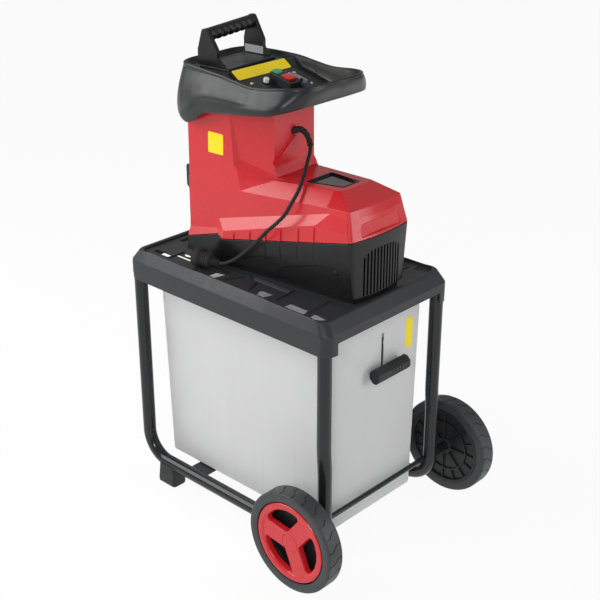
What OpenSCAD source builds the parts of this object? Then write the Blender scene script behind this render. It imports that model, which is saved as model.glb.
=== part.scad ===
// Garden shredder on a wheeled tube frame, with a slide-out collection box.
// Millimetres, +Z up, X along the wheel axle, -Y towards the wheels and the motor.
// Every module is drawn about the middle of the platform. place() then moves it so that the
// origin lies on the ground below the middle of the whole machine.

/* [Frame] */
// Outside diameter of the frame tube
tube_d = 26; // [24:0.5:28]
// Wall of the frame tube
tube_wall = 1.5; // [1:0.1:2.5]
// Tube axis to the platform's long side
leg_inset_x = 14.5; // [14.5:0.5:18]
// Tube axis to the platform's short side
leg_inset_y = 18.5; // [16:0.5:24]
// Bend radius of the tube at its axis
bend_r = 55; // [45:1:70]
// Height of the tube's bottom run
rail_z = 46; // [42:1:48]
// Height of the step in the front legs
kink_z = 252; // [200:1:300]
// How far the step sets the lower front leg forward
kink_step = 3; // [1:0.5:5]
// Width of the cross straps under the box
strap_w = 46; // [30:1:60]
// Thickness of the cross straps
strap_t = 3; // [2:0.5:5]
// Length of a rear foot
foot_l = 50; // [40:1:70]
// Width of a rear foot
foot_w = 34; // [28:1:40]
// Middle of a rear foot, from the rear leg's axis
foot_inset = 63.5; // [58:0.5:110]

/* [Wheels] */
// Outside diameter of the tyre
wheel_d = 196; // [186:1:210]
// Width of the wheel
wheel_w = 36; // [30:1:44]
// Gap between the leg and the wheel
wheel_gap = 39.5; // [30:0.5:60]
// Diameter of the axle rod
axle_d = 10; // [8:0.5:12]
// Diameter of the rim under the tyre
rim_d = 160; // [152:1:168]
// Axle behind the lower front leg's axis
axle_back = 5.5; // [0:0.5:6]

/* [Platform] */
// Length of the platform
deck_l = 520; // [500:1:560]
// Width of the platform
deck_w = 340; // [334:1:360]
// Height of the platform's outer edge
edge_z = 483; // [470:1:500]
// Depth of the long skirts below the outer edge
skirt_h = 41; // [30:1:44]
// Depth of the end skirts below the outer edge
end_skirt_h = 18; // [14:1:24]
// Rise of the sloping rim
rim_rise = 20; // [14:1:24]
// Width of the sloping rim
rim_w = 24; // [18:1:28]
// Height of the deck above the outer edge
deck_rise = 14; // [10:1:16]
// Thickness of the deck
deck_t = 4; // [3:0.5:5]
// Wall of the skirts
skirt_wall = 3; // [2.5:0.5:4]

/* [Collection box] */
// Width of the box at its floor
box_floor_w = 240; // [220:1:250]
// Width of the box at its rim
box_top_w = 264; // [252:1:266]
// Gap from the box's ends to the platform's short sides, on average
box_end = 40; // [35:1:50]
// Height of the box floor above the ground
box_z = 50; // [48:1:56]
// Gap from the box's rim up to the platform's edge
box_gap = 33; // [29:1:50]
// Wall of the box
box_wall = 2.5; // [2:0.25:4]
// Overhang of the rim on the long sides
box_rim = 8; // [4:0.5:8]
// Depth of the turned-down rim
box_rim_h = 14; // [10:1:20]
// How far the box pulls out
box_travel = 430; // [300:5:440]
// Length of the lock lever's grip
lever_w = 98; // [80:1:110]
// Height of the lock lever's grip
lever_h = 26; // [20:1:32]
// Travel of the lock lever
lock_travel = 66; // [30:1:70]

/* [Housing] */
// Gap from the front of the housing to the platform's short side
housing_inset = 31; // [29:1:38]
// Back of the housing, from the middle of the platform
housing_back = 160; // [158:1:175]
// Width of the housing's foot at the front
foot_front_w = 137; // [134:1:144]
// Width of the housing's foot at the back
foot_back_w = 216; // [210:1:222]
// Width at the seam at the front
seam_front_w = 156; // [152:1:164]
// Width at the seam at the back
seam_back_w = 212; // [206:1:220]
// Height of the seam above the platform's edge at the front
seam_front_h = 135; // [128:1:140]
// Height of the seam above the platform's edge at the back
seam_back_h = 50; // [44:1:56]
// Wall of the plastic shells
shell = 3; // [2.5:0.25:4]
// Width of the upper wall at the nose
nose_w = 139; // [134:1:146]
// Width of the upper wall at the back
wall_back_w = 178; // [174:1:186]
// Width of the tower's front face
tower_front_w = 112; // [108:1:124]
// Tower's front face, from the middle of the platform
tower_front = 24; // [18:1:30]
// Height of the tower above the platform's edge
tower_h = 330; // [322:1:334]
// Height of the motor cover's flat top above the platform's edge
cover_h = 205; // [200:1:212]

/* [Hopper and controls] */
// Width of the hopper's rim
hopper_w = 206; // [204:1:216]
// Rim height above the platform's edge, at the back
rim_h = 383; // [378:1:392]
// Depth of the dip in the rim
rim_dip = 10; // [4:1:16]
// Slope of the control panel
panel_tilt = 12.4; // [8:0.2:16]
// Travel of the start and stop buttons
button_travel = 2.5; // [1.5:0.5:3]

/* [Pusher] */
// Width of the pusher
pusher_w = 112; // [104:1:114]
// Depth of the pusher
pusher_d = 56; // [50:1:57]
// Length of the pusher below its plate
pusher_l = 98; // [80:1:110]
// Height of the pusher's handle
handle_h = 68; // [60:1:76]
// Diameter of the pusher's grip
grip_d = 22; // [18:1:26]
// Turn of the pusher, which sits loosely in the mouth
pusher_yaw = 5; // [0:0.5:5]

/* [Cutter and motor] */
// Diameter of the blade disc
disc_d = 136; // [120:1:140]
// Height of the motor shaft above the deck
shaft_h = 91; // [86:1:95]
// Diameter of the motor shaft
shaft_d = 12; // [10:0.5:14]
// Outside diameter of the stator
stator_d = 104; // [96:1:110]
// Length of the stator
stator_l = 80; // [70:1:90]
// Air gap between rotor and stator
air_gap = 1; // [0.6:0.1:1.5]

/* [Mains lead] */
// Diameter of the cord
cord_d = 8; // [7:0.5:9]
// Diameter of the plug's body
plug_d = 36; // [32:1:37]

/* [Fits] */
// Running clearance of a shaft in its bore, on the radius
run_clear = 0.06; // [0.03:0.01:0.09]
// Clearance of pieces that slide past each other
slide_clear = 0.5; // [0.4:0.05:0.8]
// Clearance of seated pieces
seat_clear = 0.2; // [0.1:0.05:0.3]

/* [Hidden] */
$fn = 64;

// Rings of the lofted shells
corner_steps = 5;
// A cut reaches this far past the face that it opens
over = 1;

// Frame
leg_x = deck_w / 2 - leg_inset_x;
leg_y = deck_l / 2 - leg_inset_y;
front_leg_y = -leg_y - kink_step;
foot_y = leg_y - foot_inset;
track_w = 2 * (leg_x + tube_d / 2 + wheel_gap + wheel_w);
leg_top = edge_z - 5;
kink_lap = 3;
axle_y = front_leg_y + axle_back;
axle_z = wheel_d / 2;
axle_reach = track_w / 2 - 6;
shift_y = (wheel_d / 2 - axle_y - deck_l / 2) / 2;
strap_rear_y = 110;
strap_front_y = -150;
strap_top = box_z - slide_clear;

// Wheels
hub_d = 32;
hub_out = 12;
web_t = 5;
barrel_t = 6;
cap_t = 14;
cap_face = 4;
cap_ring = 13;
spoke_w = 34;
spoke_turn = 7;
hub_disc_d = 52;
nut_t = 6;
nut_d = 17;
spacer_d = 18;
rib_count = 12;

// Platform
corner_r = 12;
crest_z = edge_z + rim_rise;
deck_z = edge_z + deck_rise;
deck_under = deck_z - deck_t;
skirt_z = edge_z - skirt_h;
end_skirt_z = edge_z - end_skirt_h;
tray_step = 4;
socket_d = tube_d + 10;
socket_z = skirt_z + 12;
corner_lug = 30.5;
front_gap = leg_x - corner_lug;
screw_d = 6;
leg_screw_z = edge_z - 20;
discharge_x = 62;
discharge_y = [4, 70];
// Deck slots on the left, mirrored on the right: middle and size
deck_side = deck_w / 2;
deck_end = deck_l / 2;
slots = [
    [37 - deck_side, deck_end - 64, 12, 42], [50 - deck_side, deck_end - 126, 8, 78],
    [37 - deck_side, 48, 12, 34], [39 - deck_side, -74, 12, 40],
    [36 - deck_side, 100 - deck_end, 11, 54], [36 - deck_side, 48 - deck_end, 11, 36]
];
rear_slot = [54, deck_end - 44, 34, 12];

// Collection box
box_ahead = 6;
box_l = deck_l - 2 * box_end;
box_h = edge_z - box_gap - box_z;
box_front = -box_l / 2 - box_ahead;
box_back = box_front + box_l;
box_top = box_z + box_h;
box_r = 10;
lever_x = 27;
slot_x = 11;
shank_w = 4;
shank_h = 12;
slide_t = 2.6;
slide_w = 24;
lever_d = 20;
lever_edge = 6;
lever_gap = 8;
lever_drop = 107;
lever_z = box_top - lever_drop;
lever_ribs = 8;
tongue_w = 16;
switch_h = 23;
switch_w = 30;
switch_d = 12;
switch_z = deck_under - switch_h;
tongue_top = switch_z - lock_travel - slide_clear;

// Housing
housing_front = deck_l / 2 - housing_inset;
foot_z = deck_z + 13;
plinth_in = 6;
front_bow = 7;
near_in = 79;
near_y = -housing_front + near_in;
mid_y = 66;
seam_front_z = edge_z + seam_front_h;
seam_back_z = edge_z + seam_back_h;
skirt_top_near = 32;
skirt_top_mid = 15;
band_near = 26;
band_mid = 17;
nose_h = 186;
nose_z = edge_z + nose_h;
nose_back = 13;
cover_z = edge_z + cover_h;
cover_rear_z = cover_z - 10;
cover_top_w = 80;
cover_top_in = 41;
cover_top_y = -housing_front + cover_top_in;
wall_top_h = 169;
wall_top_z = edge_z + wall_top_h;
wall_top_y = 30;
crease_y = 50;
crease_in = 3;
tower_step = 1;
tower_top = edge_z + tower_h;
tower_draft = 3;
floor_t = 4;
slat_count = 12;
slat_w = 4;
slat_pitch = 8;
slat_h = 68;
rear_cover_w = 150;
rear_cover_t = 16;
rear_cover_top = nose_z;
rear_ledge_t = 22;
rear_ledge_h = 32;
knob_h = 90;
knob_z = edge_z + knob_h;
knob_d = 46;
knob_t = 18;
knob_lobes = 6;

// Hopper
rim_z = edge_z + rim_h;
rim_front = -126;
rim_back = 184;
skirt_front = -112;
skirt_back = 191;
skirt_flare = 17;
hopper_wall = 3;
mouth_size = [124, 68];
mouth_y = 118;
chute_t = 1.5;
neck_t = 2;
neck_z = tower_top - 24;
// Height of the rim above its back, by place along Y
rim_line = [[rim_front, 2], [-80, -3], [-30, -rim_dip], [5, -rim_dip + 2], [50, -2], [110, 0], [rim_back, 0]];
// Depth of the skirt's lower edge below the rim's back, by place along Y
skirt_line = [
    [skirt_front, -37], [-72, -49], [0, -60], [60, -70], [95, -77], [127, -97], [148, -106],
    [167, -103], [181, -93], [skirt_back, -81]
];
// Right-hand half outlines of the rim and of the skirt's lower edge, from front to back
half_rim = hopper_w / 2;
rim_half = [
    [0, rim_front], [half_rim - 55, rim_front], [half_rim - 33, rim_front + 6],
    [half_rim - 19, rim_front + 17], [half_rim - 11, rim_front + 32], [half_rim - 6, rim_front + 51],
    [half_rim - 2, -50], [half_rim, -20], [half_rim, 20], [half_rim - 1, 55], [half_rim - 3, 90],
    [half_rim - 7, 120], [half_rim - 11, rim_back - 39], [half_rim - 15, rim_back - 21],
    [half_rim - 23, rim_back - 8], [half_rim - 37, rim_back - 1], [0, rim_back]
];
half_skirt = half_rim + skirt_flare;
skirt_half = [
    [0, skirt_front], [half_skirt - 50, skirt_front], [half_skirt - 28, skirt_front],
    [half_skirt - 12, skirt_front + 5], [half_skirt - 4, skirt_front + 14],
    [half_skirt - 1, skirt_front + 30], [half_skirt, -60], [half_skirt - 1, -20],
    [half_skirt - 4, 20], [half_skirt - 7, 60], [half_skirt - 10, 95],
    [half_skirt - 13, 127], [half_skirt - 16, skirt_back - 41],
    [half_skirt - 21, skirt_back - 19], [half_skirt - 28, skirt_back - 7], [half_skirt - 44, skirt_back - 1],
    [0, skirt_back]
];

// Controls
panel_t = 3;
panel_w = 148;
panel_y = [-46, 44, 66];
panel_z = rim_z - 18;
panel_rise = 15;
panel_slope = tan(panel_tilt);
switch_at = [-2, -2];
switch_size = [28, 56, 16];
start_at = [0, 19];
stop_at = [0, -11];
start_size = 15;
stop_size = 18;
start_proud = 2;
stop_proud = 4;
button_deep = 4;
flap_y = [-24, 10];
flap_size = [23, 6];
flap_wall = 1.5;
flap_tilt = 16;
flap_pin_d = 3;
flap_pin_x = 2.5;
flap_lug = 3;
reset_at = [-27, 19];
reset_d = 11;
reset_h = 9;
panel_screw_d = 7;
panel_screws_at = [[50, -21], [54, 27]];

// Pusher
pusher_plate_t = 4;
pusher_wall = 3;
plate_edge = 12;
handle_x = 68;
handle_t = 9;
handle_lift = 3;
handle_front = 24;
handle_waist = 10;
handle_back = 36;
handle_flare = 12;
handle_knee = 28;
grip_y = 18;
grip_ribs = 6;

// Cutter and motor
shaft_z = deck_z + shaft_h;
disc_y = 26;
disc_t = 8;
blade_t = 4;
blade_gap = 1.5;
blade_w = 22;
blade_in = 14;
blade_edge = 4;
blade_screw_d = 6;
blade_screws_at = [26, 50];
hub_l = 12;
rotor_d = stator_d / 2 + 6;
bracket_t = 8;
front_bracket_in = 29;
front_bracket_y = -housing_front + front_bracket_in;
front_bracket_w = 116;
rear_bracket_w = 148;
rear_bracket_y = -14;
bracket_h = 138;
bearing_d = 32;
fan_in = 47;
fan_y = -housing_front + fan_in;
fan_l = 16;
fan_gap = 16;
stator_front = fan_y + fan_l + fan_gap;
fan_d = 92;
fan_blades = 9;

// Mains lead: points along its middle, from the cover to the plug
sleeve_route = [[23, -24, 749], [23, -34, 748], [19, -44, 742], [12, -52, 733]];
cord_route = [
    [12, -52, 733], [4, -58, 723], [-8, -64, 713], [-24, -74, 704], [-43, -86, 696], [-62, -97, 687],
    [-78, -101, 674], [-90, -99, 659], [-97, -94, 644], [-103, -77, 623], [-108, -56, 602],
    [-112, -41, 584], [-116, -24, 566], [-118.5, -8, 551.3], [-121, 8, 537.6], [-122.4, 24, 526.9],
    [-123.6, 38, 520.2], [-124.5, 50, 517.2]
];
cord_sides = 10;
sleeve_d = 17;
plug_l = 56;
plug_yaw = 6;
pin_d = 4.8;
pin_l = 19;
pin_pitch = 19;

// Moves a module from the middle of the platform to the part's origin
module place() { translate([0, shift_y, 0]) children(); }

// Mirrors a right-hand half outline, from front to back, into a closed ring
function ring(half) = concat(half, [
    for (i = [len(half) - 1 : -1 : 0]) if (half[i][0] != 0) [-half[i][0], half[i][1], half[i][2]]
]);

// Rectangle with round corners, from y0 to y1
function plate_half(half_x, y0, y1, r) = concat(
    [[0, y0, 0]],
    [for (i = [0 : corner_steps]) let (a = -90 + 90 * i / corner_steps)
        [half_x - r + r * cos(a), y0 + r + r * sin(a), 0]],
    [for (i = [0 : corner_steps]) let (a = 90 * i / corner_steps)
        [half_x - r + r * cos(a), y1 - r + r * sin(a), 0]],
    [[0, y1, 0]]
);
function level(outline, z) = [for (p = outline) [p[0], p[1], z]];
function along(outline, base, table) = [for (p = outline) [p[0], p[1], base + lookup(p[1], table)]];

function plate_ring(half_x, y0, y1, r, z) = level(ring(plate_half(half_x, y0, y1, r)), z);

function middle(points) = [for (k = [0 : 2]) [for (p = points) p[k]] * [for (p = points) 1] / len(points)];

// Closed solid through rings of equal length, listed from the lowest to the highest
module loft(rings) {
    n = len(rings[0]);
    count = len(rings);
    points = concat([for (r = rings) for (p = r) p], [middle(rings[0]), middle(rings[count - 1])]);
    sides = [for (i = [0 : count - 2]) for (j = [0 : n - 1])
        let (a = i * n + j, b = i * n + (j + 1) % n, c = b + n, d = a + n)
        each [[a, d, c], [a, c, b]]];
    floor_faces = [for (j = [0 : n - 1]) [n * count, j, (j + 1) % n]];
    roof_faces = [for (j = [0 : n - 1])
        [n * count + 1, n * (count - 1) + (j + 1) % n, n * (count - 1) + j]];
    polyhedron(points, concat(sides, floor_faces, roof_faces), convexity = 10);
}

// Tube swept along points, with its own radius at each point and square ends
function unit(v) = v / norm(v);
module sweep(route, radii, sides, first, last) {
    n = len(route);
    tangents = [for (i = [0 : n - 1])
        i == 0 ? unit(first) : i == n - 1 ? unit(last) : unit(route[i + 1] - route[i - 1])];
    rings = [for (i = [0 : n - 1])
        let (u = unit(cross(tangents[i], [1, 0, 0])), v = cross(tangents[i], u))
        [for (k = [0 : sides - 1]) let (a = 360 * k / sides)
            route[i] + radii[i] * (cos(a) * u + sin(a) * v)]];
    loft(rings);
}

// Rod along X between two places
module rod_x(d, x0, x1) { translate([x0, 0, 0]) rotate([0, 90, 0]) cylinder(d = d, h = x1 - x0); }

// Rod along Y between two places
module rod_y(d, y0, y1) { translate([0, y0, 0]) rotate([-90, 0, 0]) cylinder(d = d, h = y1 - y0); }

// Block between two corners
module block(low, high) { translate(low) cube(high - low); }

// Frame tube: the axis lies in the plane x = 0, the lower front leg stepped forward of the upper one
module bend(y, start, d) {
    translate([0, y, rail_z + bend_r]) rotate([90, 0, 90]) rotate([0, 0, start])
        rotate_extrude(angle = 90) translate([bend_r, 0]) circle(d = d);
}
module upright(y, z0, z1, d) { translate([0, y, z0]) cylinder(d = d, h = z1 - z0); }
module frame_rod(d, top) {
    low = rail_z + bend_r;
    upright(leg_y, low, top, d);
    bend(leg_y - bend_r, 270, d);
    translate([0, 0, rail_z]) rod_y(d, front_leg_y + bend_r, leg_y - bend_r);
    bend(front_leg_y + bend_r, 180, d);
    upright(front_leg_y, low, kink_z + kink_lap, d);
    upright(-leg_y, kink_z - kink_lap, top, d);
}
module side_frame(side) {
    color([0.09, 0.09, 0.1]) translate([side * leg_x, 0, 0]) difference() {
        frame_rod(tube_d, leg_top);
        frame_rod(tube_d - 2 * tube_wall, leg_top + over);
        translate([0, axle_y, axle_z]) rod_x(axle_d + 2 * seat_clear, -tube_d, tube_d);
        for (y = [-leg_y, leg_y]) translate([0, y, leg_screw_z])
            rod_x(screw_d + 2 * seat_clear, side > 0 ? -tube_d : 0, side > 0 ? 0 : tube_d);
    }
}
module left_frame_tube() { place() side_frame(-1); }
module right_frame_tube() { place() side_frame(1); }

module strap(y) {
    color([0.09, 0.09, 0.1]) difference() {
        block([-leg_x, y - strap_w / 2, strap_top - strap_t], [leg_x, y + strap_w / 2, strap_top]);
        for (side = [-1, 1]) translate([side * leg_x, 0, rail_z]) rod_y(tube_d, -leg_y, leg_y);
    }
}
module front_strap() { place() strap(strap_front_y); }
module rear_strap() { place() strap(strap_rear_y); }

module foot(side) {
    color([0.07, 0.07, 0.08]) translate([side * leg_x, 0, 0]) difference() {
        block([-foot_w / 2, foot_y - foot_l / 2, 0], [foot_w / 2, foot_y + foot_l / 2, rail_z]);
        translate([0, 0, rail_z]) rod_y(tube_d, -leg_y, leg_y);
    }
}
module left_foot() { place() foot(-1); }
module right_foot() { place() foot(1); }

module at_axle() { place() translate([0, axle_y, axle_z]) children(); }

module axle() {
    color([0.1, 0.1, 0.11]) at_axle() rod_x(axle_d, -axle_reach, axle_reach);
}

// Wheel pieces are drawn for the right-hand wheel, about the axle
wheel_out = track_w / 2;
wheel_in = wheel_out - wheel_w;
hub_face = wheel_out - hub_out;
module axle_spacers() {
    color([0.16, 0.16, 0.17]) at_axle() for (side = [0, 1]) mirror([side, 0, 0]) difference() {
        rod_x(spacer_d, leg_x + tube_d / 2 + seat_clear, wheel_in - slide_clear);
        rod_x(axle_d + 2 * seat_clear, 0, wheel_out);
    }
}
module axle_nuts() {
    color([0.7, 0.7, 0.72]) at_axle() for (side = [0, 1]) mirror([side, 0, 0]) difference() {
        translate([hub_face + slide_clear, 0, 0]) rotate([0, 90, 0])
            cylinder(d = nut_d, h = axle_reach - hub_face - slide_clear, $fn = 6);
        rod_x(axle_d + 2 * run_clear, 0, wheel_out);
    }
}
module wheel_rim() {
    color([0.09, 0.09, 0.1]) difference() {
        union() {
            rod_x(hub_d, wheel_in, hub_face);
            difference() {
                rod_x(rim_d, wheel_in, wheel_out - cap_face - seat_clear);
                rod_x(rim_d - 2 * barrel_t, wheel_in - over, wheel_out);
            }
            rod_x(rim_d - barrel_t, wheel_in + web_t, wheel_in + 2 * web_t);
            for (i = [0 : rib_count - 1]) rotate([360 * i / rib_count, 0, 0])
                block([wheel_in + 1, hub_d / 2 - 2, -1.5], [wheel_in + web_t + 1, rim_d / 2 - 2, 1.5]);
        }
        rod_x(axle_d + 2 * run_clear, 0, wheel_out);
    }
}
module tyre() {
    r = rim_d / 2;
    shoulder = 5;
    color([0.16, 0.16, 0.17]) rotate([0, 90, 0]) rotate_extrude() polygon([
        [r, wheel_in], [wheel_d / 2 - shoulder, wheel_in], [wheel_d / 2, wheel_in + shoulder],
        [wheel_d / 2, wheel_out - shoulder], [wheel_d / 2 - shoulder, wheel_out], [r, wheel_out]
    ]);
}
module wheel_cap() {
    outer = rim_d - 5;
    plug = rim_d - 2 * barrel_t - 2 * seat_clear;
    inner = outer - 2 * cap_ring;
    back = wheel_out - cap_t;
    color([0.72, 0.07, 0.09]) difference() {
        union() {
            difference() {
                union() {
                    rod_x(outer, wheel_out - cap_face, wheel_out - 0.5);
                    rod_x(plug, back, wheel_out - 1);
                }
                rod_x(inner, back - over, wheel_out + over);
            }
            for (i = [0 : 2]) rotate([120 * i + spoke_turn, 0, 0])
                block([back, 0, -spoke_w / 2], [wheel_out - 2, inner / 2 + 2, spoke_w / 2]);
            rod_x(hub_disc_d, back + 1, wheel_out - 1.5);
        }
        rod_x(nut_d + 6, back - over, axle_reach + 2);
        rod_x(hub_d + 2 * slide_clear, back - over, hub_face + slide_clear);
    }
}
module left_wheel_rim() { at_axle() mirror([1, 0, 0]) wheel_rim(); }
module right_wheel_rim() { at_axle() wheel_rim(); }
module left_tyre() { at_axle() mirror([1, 0, 0]) tyre(); }
module right_tyre() { at_axle() tyre(); }
module left_wheel_cap() { at_axle() mirror([1, 0, 0]) wheel_cap(); }
module right_wheel_cap() { at_axle() wheel_cap(); }

// Platform
function deck_ring(inset, z) = plate_ring(deck_w / 2 - inset, -deck_l / 2 + inset, deck_l / 2 - inset,
    max(corner_r - inset, 2), z);
module platform_body() {
    loft([deck_ring(0, skirt_z), deck_ring(0, edge_z), deck_ring(rim_w, crest_z)]);
}
module each_leg() {
    for (x = [-leg_x, leg_x], y = [-leg_y, leg_y]) translate([x, y, 0]) children();
}
module platform() {
    rear_gap = leg_x - tube_d / 2 - slide_clear;
    tray = rim_w + tray_step;
    color([0.13, 0.135, 0.14]) place() difference() {
        union() {
            difference() {
                platform_body();
                loft([
                    deck_ring(skirt_wall, skirt_z - over),
                    deck_ring(skirt_wall, edge_z - skirt_wall),
                    deck_ring(rim_w, deck_under)
                ]);
                loft([deck_ring(tray, deck_z), deck_ring(tray, crest_z + over)]);
                for (s = [-1, 1], spot = slots) translate([s * -spot[0], spot[1], deck_z])
                    cube([spot[2], spot[3], 3 * deck_t], center = true);
                for (s = [-1, 1]) translate([s * rear_slot[0], rear_slot[1], deck_z])
                    cube([rear_slot[2], rear_slot[3], 3 * deck_t], center = true);
                block([-discharge_x, discharge_y[0], deck_under - over],
                    [discharge_x, discharge_y[1], deck_z + over]);
            }
            intersection() {
                platform_body();
                each_leg() translate([0, 0, socket_z]) cylinder(d = socket_d, h = deck_under - socket_z);
            }
        }
        block([-front_gap, -deck_l / 2 - over, skirt_z - over],
            [front_gap, -deck_l / 2 + skirt_wall + over, end_skirt_z]);
        block([-rear_gap, deck_l / 2 - skirt_wall - over, skirt_z - over],
            [rear_gap, deck_l / 2 + over, end_skirt_z]);
        each_leg() translate([0, 0, skirt_z - over])
            cylinder(d = tube_d + 2 * seat_clear, h = leg_top + seat_clear - skirt_z + over);
        for (side = [0, 1], y = [-leg_y, leg_y]) mirror([side, 0, 0]) translate([0, y, leg_screw_z])
            rod_x(screw_d + 2 * seat_clear, leg_x - socket_d, leg_x);
    }
}
module leg_screws() {
    head = leg_x - socket_d / 2 - 1;
    color([0.6, 0.6, 0.62]) place() for (side = [0, 1], y = [-leg_y, leg_y])
        mirror([side, 0, 0]) translate([0, y, leg_screw_z]) {
            rod_x(screw_d, head, leg_x - 2);
            rod_x(2 * screw_d, head - 4, head);
        }
}

// Collection box, tapered, open at the top
function box_ring(half, inset, z) = plate_ring(half - inset, box_front + inset, box_back - inset,
    box_r - inset, z);
function box_half(z) = (box_floor_w + (box_top_w - box_floor_w) * (z - box_z) / box_h) / 2;
module collection_box() {
    rim_low = box_top - box_rim_h;
    rim_x = box_top_w / 2 + box_rim;
    color([0.84, 0.85, 0.87]) place() difference() {
        union() {
            loft([box_ring(box_half(box_z), 0, box_z), box_ring(box_half(box_top), 0, box_top)]);
            for (s = [-1, 1]) {
                block([s > 0 ? 0 : -rim_x, box_front + box_r, box_top - box_wall],
                    [s > 0 ? rim_x : 0, box_back - box_r, box_top]);
                block([s > 0 ? rim_x - box_wall : -rim_x, box_front + box_r, rim_low],
                    [s > 0 ? rim_x : -rim_x + box_wall, box_back - box_r, box_top]);
            }
        }
        loft([box_ring(box_half(box_z), box_wall, box_z + box_wall),
            box_ring(box_half(box_top), box_wall, box_top + over)]);
        block([slot_x - shank_w / 2 - slide_clear, box_front - over, lever_z - shank_h / 2 - slide_clear],
            [slot_x + shank_w / 2 + slide_clear, box_front + box_wall + over,
                lever_z + shank_h / 2 + lock_travel + slide_clear]);
    }
}
module lock_lever() {
    inside = box_front + box_wall + slide_clear;
    back = box_front - lever_gap;
    low = lever_z - lever_h / 2;
    high = lever_z + lever_h / 2;
    color([0.08, 0.08, 0.09]) place() {
        block([slot_x - shank_w / 2, back - over, lever_z - shank_h / 2],
            [slot_x + shank_w / 2, inside, lever_z + shank_h / 2]);
        translate([lever_x, 0, 0]) difference() {
            profile_x([
                [back, low + lever_edge], [back - lever_edge, low], [back - lever_d + lever_edge, low],
                [back - lever_d, low + lever_edge], [back - lever_d, high - lever_edge],
                [back - lever_d + lever_edge, high], [back - lever_edge, high], [back, high - lever_edge]
            ], lever_w / 2);
            for (i = [1 : lever_ribs - 1])
                translate([(i / lever_ribs - 1 / 2) * lever_w, back - lever_d, lever_z])
                    cube([lever_w / lever_ribs / 2, 2, lever_h - 2 * lever_edge - 2], center = true);
        }
    }
}
module lock_retainer() {
    front = box_front + box_wall + slide_clear;
    color([0.1, 0.1, 0.11]) place() {
        block([slot_x - slide_w / 2, front, lever_z - lever_h / 2],
            [slot_x + slide_w / 2, front + slide_t, lever_z + lever_h / 2]);
        block([slot_x - tongue_w / 2, front, lever_z], [slot_x + tongue_w / 2, front + slide_t, tongue_top]);
    }
}
module interlock_switch() {
    middle_y = box_front + box_wall + slide_clear + slide_t / 2;
    color([0.12, 0.12, 0.13]) place()
        block([slot_x - switch_w / 2, middle_y - switch_d / 2, switch_z],
            [slot_x + switch_w / 2, middle_y + switch_d / 2, deck_under]);
}

// Housing outlines: half-width at a place along Y between the front and the back
function taper(front_w, back_w, y) =
    (front_w + (back_w - front_w) * (y + housing_front) / (housing_front + housing_back)) / 2;
function seam_z(y) = seam_front_z + (seam_back_z - seam_front_z) * (y + housing_front)
    / (housing_front + housing_back);
function foot_ring(inset, z) = ring([
    [0, -housing_front - front_bow + inset, z],
    [foot_front_w / 2 - inset, -housing_front + inset, z],
    [taper(foot_front_w, foot_back_w, near_y) - inset, near_y, z],
    [taper(foot_front_w, foot_back_w, mid_y) - inset, mid_y, z],
    [foot_back_w / 2 - inset, housing_back - inset, z]
]);
function seam_ring(inset, drop) = ring([
    [0, -housing_front - front_bow + inset, seam_front_z - drop],
    [seam_front_w / 2 - inset, -housing_front + inset, seam_front_z - drop],
    [taper(seam_front_w, seam_back_w, near_y) - inset, near_y, seam_z(near_y) - drop],
    [taper(seam_front_w, seam_back_w, mid_y) - inset, mid_y, seam_z(mid_y) - drop],
    [seam_back_w / 2 - inset, housing_back - inset, seam_back_z - drop]
]);
module lower_housing() {
    color([0.08, 0.08, 0.085]) place() difference() {
        union() {
            loft([foot_ring(0, foot_z), seam_ring(0, 0)]);
            loft([foot_ring(plinth_in, deck_z), foot_ring(plinth_in, foot_z + over)]);
        }
        loft([foot_ring(shell, foot_z + shell), seam_ring(shell, -over)]);
        loft([
            foot_ring(plinth_in + shell, deck_z + floor_t),
            foot_ring(plinth_in + shell, foot_z + 2 * shell)
        ]);
        block([-discharge_x, discharge_y[0], deck_z - over],
            [discharge_x, discharge_y[1], deck_z + floor_t + over]);
        for (i = [0 : slat_count - 1])
            translate([(i - (slat_count - 1) / 2) * slat_pitch, -housing_front, foot_z + shell + slat_h / 2])
                cube([slat_w, 40, slat_h - 10 * pow(2 * i / (slat_count - 1) - 1, 4)], center = true);
    }
}

// Upper cover: flared skirt, sloping band, upper wall, chamfer and flat top, with the tower behind
function skirt_top_ring(t) = ring([
    [0, -housing_front - front_bow + 4 + t, seam_front_z + skirt_top_mid],
    [seam_front_w / 2 - 2 - t, -housing_front + 4 + t, seam_front_z + skirt_top_mid],
    [taper(seam_front_w, seam_back_w, near_y) - 2 - t, near_y, seam_z(near_y) + skirt_top_near],
    [taper(seam_front_w, seam_back_w, mid_y) - 2 - t, mid_y, seam_z(mid_y) + skirt_top_mid],
    [seam_back_w / 2 - 2 - t, housing_back - t, seam_back_z + 10]
]);
function wall_x(y) = taper(nose_w, wall_back_w, y);
function band_ring(t) = ring([
    [0, -housing_front - front_bow + 9 + t, nose_z - 14],
    [nose_w / 2 + 2 - t, -housing_front + 9 + t, nose_z - 14],
    [wall_x(near_y - 30) - t, near_y - 30, seam_z(near_y) + skirt_top_near + band_near],
    [wall_x(mid_y + 22) - t, mid_y + 22, seam_z(mid_y) + skirt_top_mid + band_mid],
    [wall_back_w / 2 + 1 - t, housing_back - t, seam_back_z + 24]
]);
function wall_ring(t) = ring([
    [0, -housing_front + nose_back - 4 + t, nose_z - t],
    [nose_w / 2 - t, -housing_front + nose_back + t, nose_z - t],
    [wall_x(near_y - 30) - t, near_y - 30, nose_z - 1 - t],
    [wall_x(wall_top_y) - t, wall_top_y, wall_top_z - t],
    [wall_back_w / 2 - t, housing_back - t, wall_top_z - t]
]);
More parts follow.
